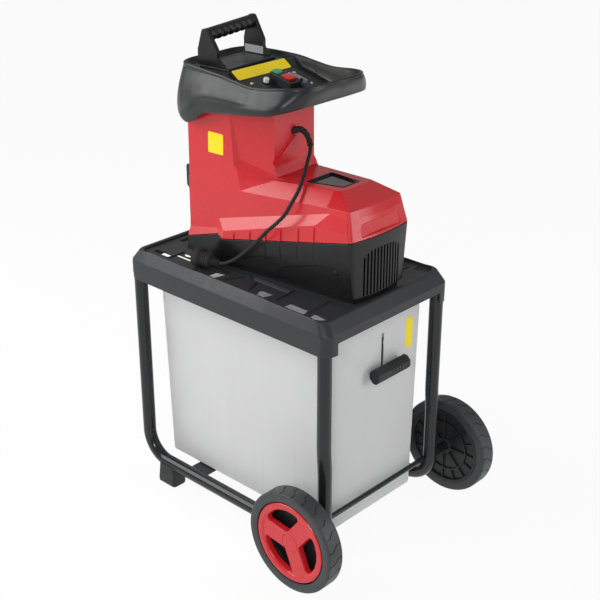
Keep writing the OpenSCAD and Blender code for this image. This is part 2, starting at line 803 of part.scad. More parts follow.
function top_ring(t) = ring([
    [0, cover_top_y - 3 + t, cover_z - t],
    [cover_top_w / 2 - t, cover_top_y + t, cover_z - t],
    [cover_top_w / 2 + 3 - t, near_y, cover_z - 2 - t],
    [tower_front_w / 2 + 5 - t, -tower_front, cover_rear_z - t],
    [tower_front_w / 2 - t, housing_back - 20, cover_rear_z - t]
]);
function tower_ring(t, z) = let (d = tower_draft * (z - wall_top_z) / (tower_top - wall_top_z) + t) ring([
    [tower_front_w / 2 - d, -tower_front + t, z],
    [wall_x(crease_y) - crease_in - d, crease_y, z],
    [wall_back_w / 2 - tower_step - d, housing_back - tower_step - t, z]
]);
module upper_cover() {
    color([0.75, 0.09, 0.12]) place() difference() {
        union() {
            loft([seam_ring(0, 0), skirt_top_ring(0), band_ring(0), wall_ring(0), top_ring(0)]);
            loft([tower_ring(0, wall_top_z - 40), tower_ring(0, tower_top)]);
        }
        loft([
            seam_ring(shell, over), skirt_top_ring(shell), band_ring(shell), wall_ring(shell),
            top_ring(shell)
        ]);
        loft([tower_ring(shell, wall_top_z - 40 - over), tower_ring(shell, tower_top + over)]);
        translate([0, 0, knob_z])
            rod_y(screw_d + 2 * seat_clear, housing_back - 2 * shell, housing_back + over);
    }
}
module rear_cover() {
    half = rear_cover_w / 2;
    color([0.08, 0.08, 0.085]) place() difference() {
        union() {
            block([-half, housing_back, seam_back_z + 4],
                [half, housing_back + rear_cover_t, rear_cover_top]);
            block([-half, housing_back, rear_cover_top - rear_ledge_h],
                [half, housing_back + rear_ledge_t, rear_cover_top]);
        }
        block([-half + shell, housing_back - over, seam_back_z + 4 + shell],
            [half - shell, housing_back + rear_cover_t - shell, rear_cover_top - rear_ledge_h - shell]);
        translate([0, 0, knob_z])
            rod_y(screw_d + 2 * seat_clear, housing_back - over, housing_back + rear_cover_t + over);
    }
}
module lock_knob() {
    face = housing_back + rear_cover_t + slide_clear;
    color([0.09, 0.09, 0.1]) place() translate([0, 0, knob_z]) {
        difference() {
            rod_y(knob_d, face, face + knob_t);
            for (i = [0 : knob_lobes - 1]) rotate([0, 360 * i / knob_lobes, 0])
                translate([knob_d / 2 + 3, 0, 0]) rod_y(14, face - over, face + knob_t + over);
        }
        rod_y(screw_d, housing_back - 4 * shell, face + over);
    }
}

// Hopper: flared skirt outside, dish with a sloping floor inside, feed mouth at the back
function shrink(half, inset, half_x) =
    let (y0 = half[0][1], y1 = half[len(half) - 1][1], mid = (y0 + y1) / 2, run = (y1 - y0) / 2)
    ring([for (p = half) [p[0] * (1 - inset / half_x), mid + (p[1] - mid) * (1 - inset / run), 0]]);
function rim_outline(inset) = shrink(rim_half, inset, half_rim);
function skirt_outline(inset) = shrink(skirt_half, inset, half_skirt);
function floor_line(drop) = [
    [rim_front - 20, rim_z - drop],
    [rim_front + 12, rim_z - 8 - drop],
    [rim_front + 34, rim_z - 26 - drop],
    [panel_y[0], panel_z - panel_t + (panel_y[0] - panel_y[1]) * panel_slope - drop],
    [panel_y[1], panel_z - panel_t - drop],
    [panel_y[2], panel_z - panel_t + panel_rise - drop],
    [panel_y[2] + 14, rim_z - 8 - drop],
    [rim_back + 20, rim_z - 8 - drop]
];
mouth_x = mouth_size[0] / 2;
mouth_low = mouth_y - mouth_size[1] / 2;
mouth_high = mouth_y + mouth_size[1] / 2;
plate_z = rim_z - 8;
module profile_x(points, half) {
    rotate([90, 0, 90]) linear_extrude(2 * half, center = true) polygon(points);
}
module hopper() {
    far = 2 * half_rim;
    high = rim_z + 40;
    low = rim_z - 140;
    under = [[rim_back + 20, low], [rim_front - 20, low]];
    color([0.12, 0.125, 0.13]) place() difference() {
        union() {
            difference() {
                loft([
                    along(skirt_outline(0), rim_z, skirt_line),
                    along(rim_outline(-6), rim_z - 12, rim_line),
                    along(rim_outline(0), rim_z, rim_line)
                ]);
                intersection() {
                    loft([level(rim_outline(24), rim_z - 60), level(rim_outline(4), high)]);
                    profile_x(concat(floor_line(0), [[rim_back + 20, high], [rim_front - 20, high]]), far);
                }
                intersection() {
                    loft([
                        level(skirt_outline(hopper_wall), low),
                        level(skirt_outline(hopper_wall), rim_z - 66),
                        level(rim_outline(14), rim_z - 6)
                    ]);
                    profile_x(concat(floor_line(hopper_wall), under), far);
                }
            }
            intersection() {
                difference() {
                    loft([tower_ring(shell + seat_clear, neck_z), tower_ring(shell + seat_clear, high)]);
                    loft([tower_ring(shell + seat_clear + neck_t, neck_z - over),
                        tower_ring(shell + seat_clear + neck_t, high + over)]);
                }
                profile_x(concat(floor_line(hopper_wall / 2), under), far);
            }
        }
        block([-mouth_x, mouth_low, low], [mouth_x, mouth_high, high]);
    }
}
module feed_chute() {
    low = shaft_z + disc_d / 2 + 4;
    ramp_y = disc_y + disc_t + blade_t + blade_gap;
    ramp_low = deck_z + floor_t + 8;
    ramp_high = low - 20;
    color([0.2, 0.2, 0.21]) place() difference() {
        union() {
            difference() {
                block([-mouth_x - chute_t, mouth_low - chute_t, low],
                    [mouth_x + chute_t, mouth_high + chute_t, plate_z - hopper_wall]);
                block([-mouth_x, mouth_low, low - over], [mouth_x, mouth_high, plate_z]);
            }
            profile_x([[ramp_y, ramp_low], [mouth_high + chute_t, ramp_high], [mouth_high + chute_t, low],
                [mouth_high, low], [mouth_high, ramp_high + chute_t], [ramp_y, ramp_low + chute_t]], mouth_x);
            for (s = [-1, 1]) translate([s * (mouth_x + chute_t / 2), 0, 0])
                profile_x([[ramp_y, ramp_low], [mouth_high + chute_t, ramp_high], [mouth_high + chute_t, low],
                    [mouth_low - chute_t, low], [ramp_y, low - 10]], chute_t / 2);
        }
        block([-mouth_x, ramp_y - over, ramp_low - over], [mouth_x, ramp_y + 6, ramp_low + 12]);
    }
}
module counter_blade() {
    ramp_y = disc_y + disc_t + blade_t + blade_gap;
    ramp_low = deck_z + floor_t + 8;
    color([0.7, 0.7, 0.72]) place()
        block([-mouth_x, ramp_y, ramp_low], [mouth_x, ramp_y + 6, ramp_low + 12]);
}

// Control panel and what sits on it: drawn with the panel's lower slope level, then tilted
module on_panel(at, lift) {
    place() translate([0, panel_y[1], panel_z]) rotate([panel_tilt, 0, 0])
        translate([at[0], at[1] - panel_y[1], lift]) children();
}
module control_panel() {
    front = panel_z + (panel_y[0] - panel_y[1]) * panel_slope;
    color([0.09, 0.09, 0.1]) difference() {
        place() profile_x([
            [panel_y[0], front - panel_t], [panel_y[1], panel_z - panel_t],
            [panel_y[2], panel_z + panel_rise - panel_t], [panel_y[2], panel_z + panel_rise],
            [panel_y[1], panel_z], [panel_y[0], front]
        ], panel_w / 2);
        on_panel(reset_at, -panel_t - over) cylinder(d = reset_d + 2 * slide_clear, h = panel_t + 2 * over);
    }
}
module at_flap_pin() {
    on_panel(switch_at, 0) translate([switch_size[0] / 2 + flap_pin_x, 0, switch_size[2]]) children();
}
module button_well(at, size) {
    well = button_deep + button_travel + slide_clear;
    translate([at[0], at[1], switch_size[2] - well / 2 + over / 2])
        cube([size + 2 * slide_clear, size + 2 * slide_clear, well + over], center = true);
}
module switch_box() {
    lug_x = switch_size[0] / 2 + flap_pin_x;
    color([0.1, 0.1, 0.11]) on_panel(switch_at, 0) difference() {
        union() {
            translate([-switch_size[0] / 2, -switch_size[1] / 2, 0]) cube(switch_size);
            for (y = [flap_y[0] - flap_lug - slide_clear, flap_y[1] + slide_clear])
                block([lug_x - 6, y, switch_size[2] - 6], [lug_x + flap_pin_d, y + flap_lug, switch_size[2]]);
            for (y = [flap_y[0] - flap_lug - slide_clear, flap_y[1] + slide_clear])
                translate([lug_x, 0, switch_size[2]]) rod_y(2 * flap_pin_d, y, y + flap_lug);
        }
        button_well(start_at, start_size);
        button_well(stop_at, stop_size);
        translate([lug_x, 0, switch_size[2]])
            rod_y(flap_pin_d + 2 * run_clear, -switch_size[1], switch_size[1]);
    }
}
module button(at, size, proud) {
    on_panel(switch_at, switch_size[2] - button_deep)
        translate([at[0] - size / 2, at[1] - size / 2, 0]) cube([size, size, button_deep + proud]);
}
module start_button() { color([0.1, 0.55, 0.25]) button(start_at, start_size, start_proud); }
module stop_button() { color([0.8, 0.06, 0.06]) button(stop_at, stop_size, stop_proud); }
module switch_flap() {
    run = flap_y[1] - flap_y[0];
    root = flap_pin_d / 2 + slide_clear;
    color([0.6, 0.62, 0.65]) at_flap_pin() rotate([0, flap_tilt, 0]) {
        rod_y(flap_pin_d, flap_y[0] - flap_lug, flap_y[1] + flap_lug);
        difference() {
            translate([0, flap_y[0], -flap_size[1]]) cube([flap_size[0], run, flap_size[1]]);
            translate([root, flap_y[0] + flap_wall, -flap_size[1] + flap_wall])
                cube([flap_size[0] - root - flap_wall, run - 2 * flap_wall, flap_size[1]]);
            translate([-over, flap_y[0] - over, -flap_size[1] - over])
                cube([root + over, run + 2 * over, flap_size[1] - flap_pin_d / 2 + over]);
        }
    }
}
module reset_button() {
    color([0.75, 0.76, 0.78]) on_panel(reset_at, -seat_clear) cylinder(d = reset_d, h = reset_h);
}
module panel_screws() {
    color([0.8, 0.8, 0.8]) for (s = [-1, 1], at = panel_screws_at)
        on_panel([s * at[0], at[1]], 0) cylinder(d = panel_screw_d, h = 2.5);
}

// Pusher, drawn about the middle of the mouth, at the height of the hopper's floor
module at_mouth() { place() translate([0, mouth_y, plate_z]) rotate([0, 0, pusher_yaw]) children(); }
module pusher() {
    half = pusher_w / 2;
    deep = pusher_d / 2;
    color([0.09, 0.09, 0.1]) at_mouth() translate([0, 0, slide_clear]) difference() {
        union() {
            block([-half - plate_edge, -deep - 8, 0], [half + plate_edge, deep + 8, pusher_plate_t]);
            block([-half, -deep, -pusher_l], [half, deep, 0]);
        }
        block([-half + pusher_wall, -deep + pusher_wall, -pusher_l - over],
            [half - pusher_wall, deep - pusher_wall, 0]);
    }
}
module on_pusher() { at_mouth() translate([0, 0, slide_clear + pusher_plate_t]) children(); }
module pusher_handle() {
    color([0.09, 0.09, 0.1]) on_pusher() for (s = [-1, 1])
        translate([s * (handle_x - handle_t / 2), 0, 0]) profile_x([
            [-handle_front, 0], [-handle_front + 2, 4], [-handle_waist, handle_flare],
            [-handle_waist, handle_knee], [grip_y - 9, handle_h - 7 + s * handle_lift],
            [grip_y - 5, handle_h + s * handle_lift], [grip_y + 5, handle_h + s * handle_lift],
            [grip_y + 8, handle_h - 5 + s * handle_lift], [handle_back, handle_knee - 1], [handle_back, 0]
        ], handle_t / 2);
}
module pusher_grip() {
    reach = handle_x - handle_t;
    pitch = 2 * reach / (grip_ribs + 1);
    color([0.1, 0.1, 0.11]) on_pusher() translate([0, grip_y, handle_h - grip_d / 2 - 3])
        rotate([0, -atan(handle_lift / handle_x), 0]) {
            rod_x(grip_d - 4, -reach + 1, reach - 1);
            for (i = [0 : grip_ribs - 1])
                rod_x(grip_d, -reach + (i + 0.75) * pitch, -reach + (i + 1.25) * pitch);
        }
}

// Motor and cutter, about the motor shaft
module at_shaft() { place() translate([0, 0, shaft_z]) children(); }
core_y = [stator_front, stator_front + stator_l];
module motor_shaft() {
    color([0.7, 0.7, 0.72]) at_shaft() rod_y(shaft_d, front_bracket_y - 4, disc_y + disc_t);
}
module collar(d, y0, y1) {
    difference() {
        rod_y(d, y0, y1);
        rod_y(shaft_d + 2 * seat_clear, y0 - over, y1 + over);
    }
}
module rotor_core() {
    color([0.45, 0.3, 0.2]) at_shaft() collar(rotor_d - 2 * air_gap, core_y[0], core_y[1]);
}
module cooling_fan() {
    color([0.15, 0.15, 0.16]) at_shaft() difference() {
        union() {
            rod_y(30, fan_y, fan_y + fan_l);
            rod_y(fan_d, fan_y + fan_l - 2, fan_y + fan_l);
            for (i = [0 : fan_blades - 1]) rotate([0, 360 * i / fan_blades, 0])
                block([10, fan_y, -1], [fan_d / 2 - 1, fan_y + fan_l - 1, 1]);
        }
        rod_y(shaft_d + 2 * seat_clear, fan_y - over, fan_y + fan_l + over);
    }
}
module stator() {
    color([0.5, 0.5, 0.52]) at_shaft() difference() {
        rod_y(stator_d, core_y[0], core_y[1]);
        rod_y(rotor_d, core_y[0] - over, core_y[1] + over);
    }
}
module stator_cradle() {
    half = stator_d / 2 - 6;
    color([0.3, 0.3, 0.32]) place() difference() {
        block([-half, core_y[0] + 6, deck_z + floor_t], [half, core_y[1] - 6, shaft_z - 24]);
        translate([0, 0, shaft_z]) rod_y(stator_d + 2 * seat_clear, core_y[0], core_y[1]);
    }
}
module bracket(y, half) {
    color([0.55, 0.55, 0.57]) place() difference() {
        block([-half, y, deck_z + floor_t], [half, y + bracket_t, deck_z + floor_t + bracket_h]);
        translate([0, 0, shaft_z]) rod_y(bearing_d, y - over, y + bracket_t + over);
    }
}
module front_bracket() { bracket(front_bracket_y, front_bracket_w / 2); }
module rear_bracket() { bracket(rear_bracket_y, rear_bracket_w / 2); }
module bearing(y) {
    color([0.75, 0.75, 0.77]) at_shaft() difference() {
        rod_y(bearing_d - 2 * run_clear, y, y + bracket_t);
        rod_y(shaft_d + 2 * run_clear, y - over, y + bracket_t + over);
    }
}
module front_bearing() { bearing(front_bracket_y); }
module rear_bearing() { bearing(rear_bracket_y); }
module blade_disc() {
    color([0.62, 0.62, 0.64]) at_shaft() {
        collar(disc_d, disc_y, disc_y + disc_t);
        collar(34, disc_y - hub_l, disc_y);
    }
}
module each_blade() { for (a = [0, 180]) rotate([0, a, 0]) children(); }
module blades() {
    face = disc_y + disc_t;
    color([0.8, 0.8, 0.82]) at_shaft() each_blade() difference() {
        block([blade_in, face, -blade_w / 2], [disc_d / 2 - blade_edge, face + blade_t, blade_w / 2]);
        for (x = blade_screws_at) translate([x, 0, 0])
            rod_y(blade_screw_d + 2 * seat_clear, face - over, face + 2 * blade_t);
    }
}
module blade_screws() {
    face = disc_y + disc_t;
    color([0.35, 0.35, 0.37]) at_shaft() each_blade() for (x = blade_screws_at)
        translate([x, 0, 0]) rod_y(blade_screw_d, face, face + blade_t);
}

// Mains lead
plug_at = cord_route[len(cord_route) - 1];
plug_dir = [-sin(plug_yaw), cos(plug_yaw), 0];
module bend_sleeve() {
    last = len(sleeve_route) - 1;
    color([0.06, 0.06, 0.065]) place() sweep(sleeve_route,
        [for (i = [0 : last]) (sleeve_d - (sleeve_d - cord_d - 3) * i / last) / 2], cord_sides,
        [0, -1, 0], cord_route[1] - cord_route[0]);
}
module mains_cord() {
    color([0.05, 0.05, 0.055]) place() sweep(cord_route, [for (p = cord_route) cord_d / 2], cord_sides,
        cord_route[1] - cord_route[0], plug_dir);
}
module at_plug() { place() translate(plug_at) rotate([0, 0, plug_yaw]) children(); }
module plug_body() {
    color([0.07, 0.07, 0.075]) at_plug() rotate([-90, 0, 0]) rotate_extrude() polygon([
        [0, 0], [7, 0], [9, 14], [plug_d / 2 - 4, 18], [plug_d / 2 - 4, 36], [plug_d / 2, 42],
        [plug_d / 2, plug_l], [0, plug_l]
    ]);
}
module plug_pins() {
    color([0.8, 0.78, 0.7]) at_plug() for (s = [-1, 1]) translate([s * pin_pitch / 2, 0, 0])
        rod_y(pin_d, plug_l, plug_l + pin_l);
}

left_frame_tube();
right_frame_tube();
front_strap();
rear_strap();
left_foot();
right_foot();
axle();
axle_spacers();
axle_nuts();
left_wheel_rim();
left_tyre();
left_wheel_cap();
right_wheel_rim();
right_tyre();
right_wheel_cap();
platform();
leg_screws();
collection_box();
lock_lever();
lock_retainer();
interlock_switch();
lower_housing();
upper_cover();
rear_cover();
lock_knob();
hopper();
control_panel();
switch_box();
start_button();
stop_button();
switch_flap();
reset_button();
panel_screws();
bend_sleeve();
mains_cord();
plug_body();
plug_pins();
pusher();
pusher_handle();
pusher_grip();
feed_chute();
counter_blade();
blade_disc();
blades();
blade_screws();
motor_shaft();
rotor_core();
cooling_fan();
stator();
stator_cradle();
front_bracket();
rear_bracket();
front_bearing();
rear_bearing();
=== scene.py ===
"""Looks of a wheeled garden shredder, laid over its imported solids.

Sizes are in millimetres from the middle of the platform and the ground, and `at` turns a place
into the frame's metres.
"""

import logging
import math
from dataclasses import dataclass
from enum import Enum
from typing import Callable, Sequence

import bmesh
import bpy
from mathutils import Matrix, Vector


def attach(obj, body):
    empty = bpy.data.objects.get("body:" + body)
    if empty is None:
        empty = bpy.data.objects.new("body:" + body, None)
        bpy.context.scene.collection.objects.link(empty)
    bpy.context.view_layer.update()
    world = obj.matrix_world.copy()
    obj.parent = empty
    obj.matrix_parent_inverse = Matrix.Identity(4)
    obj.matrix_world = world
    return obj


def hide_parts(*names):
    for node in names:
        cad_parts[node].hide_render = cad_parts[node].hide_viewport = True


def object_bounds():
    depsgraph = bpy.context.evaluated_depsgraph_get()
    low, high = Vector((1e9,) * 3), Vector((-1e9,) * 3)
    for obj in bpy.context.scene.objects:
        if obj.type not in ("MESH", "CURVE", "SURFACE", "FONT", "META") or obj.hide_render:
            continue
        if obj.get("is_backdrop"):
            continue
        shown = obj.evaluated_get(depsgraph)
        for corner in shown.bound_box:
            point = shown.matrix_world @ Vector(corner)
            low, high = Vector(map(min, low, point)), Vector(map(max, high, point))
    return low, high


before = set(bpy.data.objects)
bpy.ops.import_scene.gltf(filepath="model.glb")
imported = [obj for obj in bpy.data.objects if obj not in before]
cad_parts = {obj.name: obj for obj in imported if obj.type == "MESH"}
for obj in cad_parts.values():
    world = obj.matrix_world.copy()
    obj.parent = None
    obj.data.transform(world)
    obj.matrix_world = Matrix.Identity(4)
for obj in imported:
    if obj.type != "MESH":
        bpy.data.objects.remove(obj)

LOG = logging.getLogger("shredder")
MM = 0.001
PLATFORM_Y = 38.5
Point = tuple[float, float, float]
Flat = tuple[float, float]
Ring = list[Point]
Socket = bpy.types.NodeSocket


class Body(Enum):
    """Rigid bodies that the pieces ride on."""

    BASE = "base"
    LEFT_WHEEL = "left_wheel"
    RIGHT_WHEEL = "right_wheel"
    BOX = "box"
    LOCK = "lock"
    PUSHER = "pusher"
    START = "start"
    STOP = "stop"
    RESET = "reset"
    FLAP = "flap"
    KNOB = "knob"


# Places and outlines


def at(x: float, y: float, z: float) -> Vector:
    """Place in the frame's metres of a point in millimetres."""
    return Vector((x, y + PLATFORM_Y, z)) * MM


def mix(a: float, b: float, t: float) -> float:
    """Value a share t of the way from a to b."""
    return a + (b - a) * t


def ease(start: float, end: float, value: float) -> float:
    """Share from 0 to 1 that a value has gone from start to end, soft at both."""
    t = min(max((value - start) / (end - start), 0.0), 1.0)
    return t * t * (3 - 2 * t)


def table(rows: Sequence[Flat], key: float) -> float:
    """Reads a value out of rows of (key, value), straight between two rows.

    Args:
        rows: Rows in rising order of their keys.
        key: Key to look up.

    Returns:
        The value, held at the first or last row outside them.
    """
    if key <= rows[0][0]:
        return rows[0][1]
    for (k0, v0), (k1, v1) in zip(rows, rows[1:]):
        if key <= k1:
            return mix(v0, v1, (key - k0) / (k1 - k0))
    return rows[-1][1]


def spline(points: Sequence[Point], steps: int, closed: bool = False) -> Ring:
    """Draws a smooth line through points.

    Args:
        points: Points on the line, in order.
        steps: Parts that each span is split into.
        closed: Whether the last point joins the first.

    Returns:
        The points of the line.
    """
    count = len(points)
    line: Ring = []
    for i in range(count if closed else count - 1):
        near = [
            Vector(points[(i + k) % count if closed else min(max(i + k, 0), count - 1)])
            for k in (-1, 0, 1, 2)
        ]
        gaps = [max((b - a).length, 1e-6) for a, b in zip(near, near[1:])]
        out = (near[2] - near[1]) / gaps[1]
        start = (out * gaps[0] + (near[1] - near[0]) / gaps[0] * gaps[1]) / (gaps[0] + gaps[1])
        end = (out * gaps[2] + (near[3] - near[2]) / gaps[2] * gaps[1]) / (gaps[1] + gaps[2])
        start, end = start * gaps[1], end * gaps[1]
        for step in range(steps):
            t = step / steps
            place = near[1] * (2 * t**3 - 3 * t * t + 1) + near[2] * (3 * t * t - 2 * t**3)
            place += start * (t**3 - 2 * t * t + t) + end * (t**3 - t * t)
            line.append(tuple(place))
    if not closed:
        line.append(tuple(points[-1]))
    return line


def mirrored(half: Sequence[Point]) -> Ring:
    """Closes a ring from its right half, which starts or ends on the middle line."""
    return list(half) + [(-x, y, z) for x, y, z in reversed(half) if abs(x) > 1e-6]


def rounded(corners: Sequence[Flat], radii: Sequence[float], steps: int = 5) -> list[Flat]:
    """Rounds the corners of a flat outline.

    Args:
        corners: Corners of the outline, in order.
        radii: Radius at each corner.
        steps: Parts of each arc.

    Returns:
        The rounded outline.
    """
    outline: list[Flat] = []
    count = len(corners)
    for i, radius in enumerate(radii):
        here = Vector(corners[i])
        back = (Vector(corners[i - 1]) - here).normalized()
        ahead = (Vector(corners[(i + 1) % count]) - here).normalized()
        half = back.angle(ahead) / 2
        reach = radius / math.tan(half)
        middle = here + (back + ahead).normalized() * (radius / math.sin(half))
        start, end = here + back * reach - middle, here + ahead * reach - middle
        for step in range(steps + 1):
            arm = start.slerp(end, step / steps) * radius if radius > 0 else start
            outline.append(tuple(middle + arm))
    return outline


def plate(lo: Flat, hi: Flat, radius: float, steps: int = 5) -> list[Flat]:
    """Outline of a rectangle with rounded corners."""
    corners = [(hi[0], lo[1]), (hi[0], hi[1]), (lo[0], hi[1]), (lo[0], lo[1])]
    return rounded(corners, [radius] * 4, steps)


def circle(radius: float, steps: int = 64) -> list[Flat]:
    """Outline of a circle about the origin."""
    turns = [2 * math.pi * k / steps for k in range(steps)]
    return [(radius * math.cos(a), radius * math.sin(a)) for a in turns]


@dataclass(frozen=True)
class Seat:
    """A place that shapes are drawn on: an origin and three directions."""

    origin: Point = (0.0, 0.0, 0.0)
    u: Point = (1.0, 0.0, 0.0)
    v: Point = (0.0, 1.0, 0.0)
    w: Point = (0.0, 0.0, 1.0)

    def put(self, a: float, b: float, c: float) -> Point:
        """Place of a point given along the three directions."""
        place = Vector(self.origin) + Vector(self.u) * a + Vector(self.v) * b + Vector(self.w) * c
        return tuple(place)

    def ring(self, outline: Sequence[Flat], height: float) -> Ring:
        """Ring of a flat outline at a height."""
        return [self.put(a, b, height) for a, b in outline]

    def turned(self, degrees: float) -> "Seat":
        """Seat turned about its third direction, from the first towards the second.

        Args:
            degrees: Angle of the turn.

        Returns:
            The turned seat.
        """
        a = math.radians(degrees)
        u, v = Vector(self.u), Vector(self.v)
        first, second = u * math.cos(a) + v * math.sin(a), v * math.cos(a) - u * math.sin(a)
        return Seat(self.origin, tuple(first), tuple(second), self.w)

    def upended(self) -> "Seat":
        """Seat tipped up, so that it faces against its old second direction."""
        return Seat(self.origin, self.u, self.w, tuple(-Vector(self.v)))

    def tipped(self, degrees: float) -> "Seat":
        """Seat turned about its first direction, from the second towards the third."""
        slope = Seat(self.origin, self.v, self.w, self.u).turned(degrees)
        return Seat(self.origin, self.u, slope.u, slope.v)


class Facing(Enum):
    """Ways that an upright seat can face, each as the seat's three directions."""

    FRONT = ((1, 0, 0), (0, 0, 1), (0, -1, 0))
    REAR = ((1, 0, 0), (0, 0, 1), (0, 1, 0))
    RIGHT = ((0, 1, 0), (0, 0, 1), (1, 0, 0))

    def seat(self, x: float = 0, y: float = 0, z: float = 0) -> Seat:
        """Seat at a place that faces this way."""
        return Seat((x, y, z), *self.value)


GROUND = Seat()


# Shaping


class Piece:
    """A mesh shaped step by step in edit mode, then finished with applied modifiers."""

    def __init__(self, name: str, points: Sequence[Point]) -> None:
        """Starts the piece as one closed loop.

        Args:
            name: Name of the piece.
            points: Points of the loop, in order.
        """
        bpy.ops.object.select_all(action="DESELECT")
        bpy.ops.mesh.primitive_circle_add(vertices=len(points))
        self.obj: bpy.types.Object = bpy.context.object
        self.obj.name = self.obj.data.name = name
        self.obj.location = (0, 0, 0)
        for vertex, point in zip(self.obj.data.vertices, points):
            vertex.co = at(*point)
        self.first = list(range(len(points)))
        self.last = list(self.first)

    def hold(self) -> None:
        """Makes this the one selected and active object."""
        bpy.ops.object.select_all(action="DESELECT")
        self.obj.select_set(True)
        bpy.context.view_layer.objects.active = self.obj

    def pick(self, loop: Sequence[int]) -> bmesh.types.BMesh:
        """Selects a loop of vertices in edit mode and returns the mesh.

        Args:
            loop: Indices of the vertices.

        Returns:
            The mesh in edit mode.
        """
        bpy.ops.mesh.select_all(action="DESELECT")
        mesh = bmesh.from_edit_mesh(self.obj.data)
        mesh.verts.ensure_lookup_table()
        for index in loop:
            mesh.verts[index].select = True
        mesh.select_flush(True)
        return mesh

    def draw(self, rings: Sequence[Ring]) -> None:
        """Extrudes the last loop through rings of the same number of points.

        Args:
            rings: Rings to go through, in order.
        """
        self.hold()
        bpy.ops.object.mode_set(mode="EDIT")
        bpy.ops.mesh.select_mode(type="VERT")
        for ring in rings:
            self.pick(self.last)
            bpy.ops.mesh.extrude_region()
            mesh = bmesh.from_edit_mesh(self.obj.data)
            mesh.verts.index_update()
            mesh.verts.ensure_lookup_table()
            loop = []
            for index, point in zip(self.last, ring):
                old = mesh.verts[index]
                new = next(e.other_vert(old) for e in old.link_edges if e.other_vert(old).select)
                new.co = at(*point)
                loop.append(new.index)
            self.last = loop
        bmesh.update_edit_mesh(self.obj.data)
        bpy.ops.object.mode_set(mode="OBJECT")

    def close(self, capped: bool = True) -> "Piece":
        """Caps both ends, merges points that meet and turns the normals outward.

        Args:
            capped: Whether the two ends get a face.

        Returns:
            This piece.
        """
        self.hold()
        bpy.ops.object.mode_set(mode="EDIT")
        if capped:
            for loop in (self.first, self.last):
                self.pick(loop)
                bpy.ops.mesh.edge_face_add()
        bpy.ops.mesh.select_all(action="SELECT")
        bpy.ops.mesh.remove_doubles(threshold=2e-6)
        bpy.ops.mesh.normals_make_consistent(inside=False)
        if bmesh.from_edit_mesh(self.obj.data).calc_volume(signed=True) < 0:
            bpy.ops.mesh.flip_normals()
        bpy.ops.object.mode_set(mode="OBJECT")
        return self

    def modify(self, kind: str, **settings: object) -> None:
        """Adds a modifier, sets it and applies it.

        Args:
            kind: Type of the modifier.
            settings: Values of its settings.
        """
        self.hold()
        modifier = self.obj.modifiers.new(kind, kind)
        for key, value in settings.items():
            setattr(modifier, key, value)
        bpy.ops.object.modifier_apply(modifier=modifier.name)

    def bevel(self, width: float, segments: int = 3, angle: float = 25) -> "Piece":
        """Rounds the edges that are sharper than an angle.

        Args:
            width: Width of the rounding.
            segments: Parts of the rounding.
            angle: Limit in degrees.

        Returns:
            This piece.
        """
        limit = math.radians(angle)
        self.modify("BEVEL", width=width * MM, segments=segments, angle_limit=limit)
        return self

    def cut(self, other: "Piece") -> "Piece":
        """Takes another piece's volume out of this one."""
        return self.combine(other, "DIFFERENCE")

    def fuse(self, other: "Piece") -> "Piece":
        """Grows another piece into this one."""
        return self.combine(other, "UNION")

    def combine(self, other: "Piece", operation: str) -> "Piece":
        """Combines another piece's volume with this one and drops that piece.

        Args:
            other: Piece that is used up.
            operation: Way of the boolean.

        Returns:
            This piece.
        """
        self.modify("BOOLEAN", object=other.obj, operation=operation, solver="EXACT")
        bpy.data.objects.remove(other.obj)
        return self

    def add(self, *others: "Piece") -> "Piece":
        """Takes other pieces into this one as they are.

        Args:
            others: Pieces that are used up.

        Returns:
            This piece.
        """
        self.hold()
        for other in others:
            other.obj.select_set(True)
        bpy.ops.object.join()
        return self

    def copy(self, name: str, change: Callable[[Vector], Vector]) -> "Piece":
        """Copies the piece with its own mesh, each point moved by a rule.

        Args:
            name: Name of the copy.
            change: Rule from a place to the new place, in metres.

        Returns:
            The copy, its normals turned outward.
        """
        self.hold()
        bpy.ops.object.duplicate(linked=False)
        twin = Piece.__new__(Piece)
        twin.obj = bpy.context.object
        twin.obj.name = twin.obj.data.name = name
        twin.first = twin.last = []
        for vertex in twin.obj.data.vertices:
            vertex.co = change(vertex.co)
        return twin.close(capped=False)

    def opposite(self, name: str) -> "Piece":
        """Copies the piece to the other side of the machine."""
        return self.copy(name, lambda co: Vector((-co.x, co.y, co.z)))

    def smooth(self, angle: float = 32) -> "Piece":
        """Shades the piece smooth up to an angle, large faces staying flat.

        Args:
            angle: Limit in degrees, above which an edge stays sharp.

        Returns:
            This piece.
        """
        self.hold()
        bpy.ops.object.shade_smooth_by_angle(angle=math.radians(angle))
        self.modify("WEIGHTED_NORMAL", keep_sharp=True)
        return self

    def fit(self, finish: "Finish", slot: str, *nodes: str, body: Body = Body.BASE) -> bpy.types.Object:
        """Gives the piece its finish and ties it to its body.

        Args:
            finish: Finish of its surface.
            slot: Material slot of the record that it stands for, empty for a label; not used.
            nodes: Solids that it takes the place of.
            body: Body that it rides on.

        Returns:
            The finished object.
        """
        self.obj.data.materials.clear()
        self.obj.data.materials.append(finish.material())
        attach(self.obj, body.value)
        if nodes:
            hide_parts(*nodes)
        LOG.info("%s: %d faces", self.obj.name, len(self.obj.data.polygons))
        return self.obj


def loft(name: str, rings: Sequence[Ring], capped: bool = True) -> Piece:
    """Draws a piece through rings, capped at both ends.

    Args:
        name: Name of the piece.
        rings: Rings of the same number of points.
        capped: Whether the two ends are closed with a face.

    Returns:
        The closed piece.
    """
    piece = Piece(name, rings[0])
    piece.draw(rings[1:])
    return piece.close(capped)


def lathe(name: str, seat: Seat, profile: Sequence[Flat], steps: int = 64, capped: bool = True) -> Piece:
    """Turns a profile of (radius, height) about a seat's third direction."""
    return loft(name, [seat.ring(circle(max(r, 0.0), steps), h) for r, h in profile], capped)


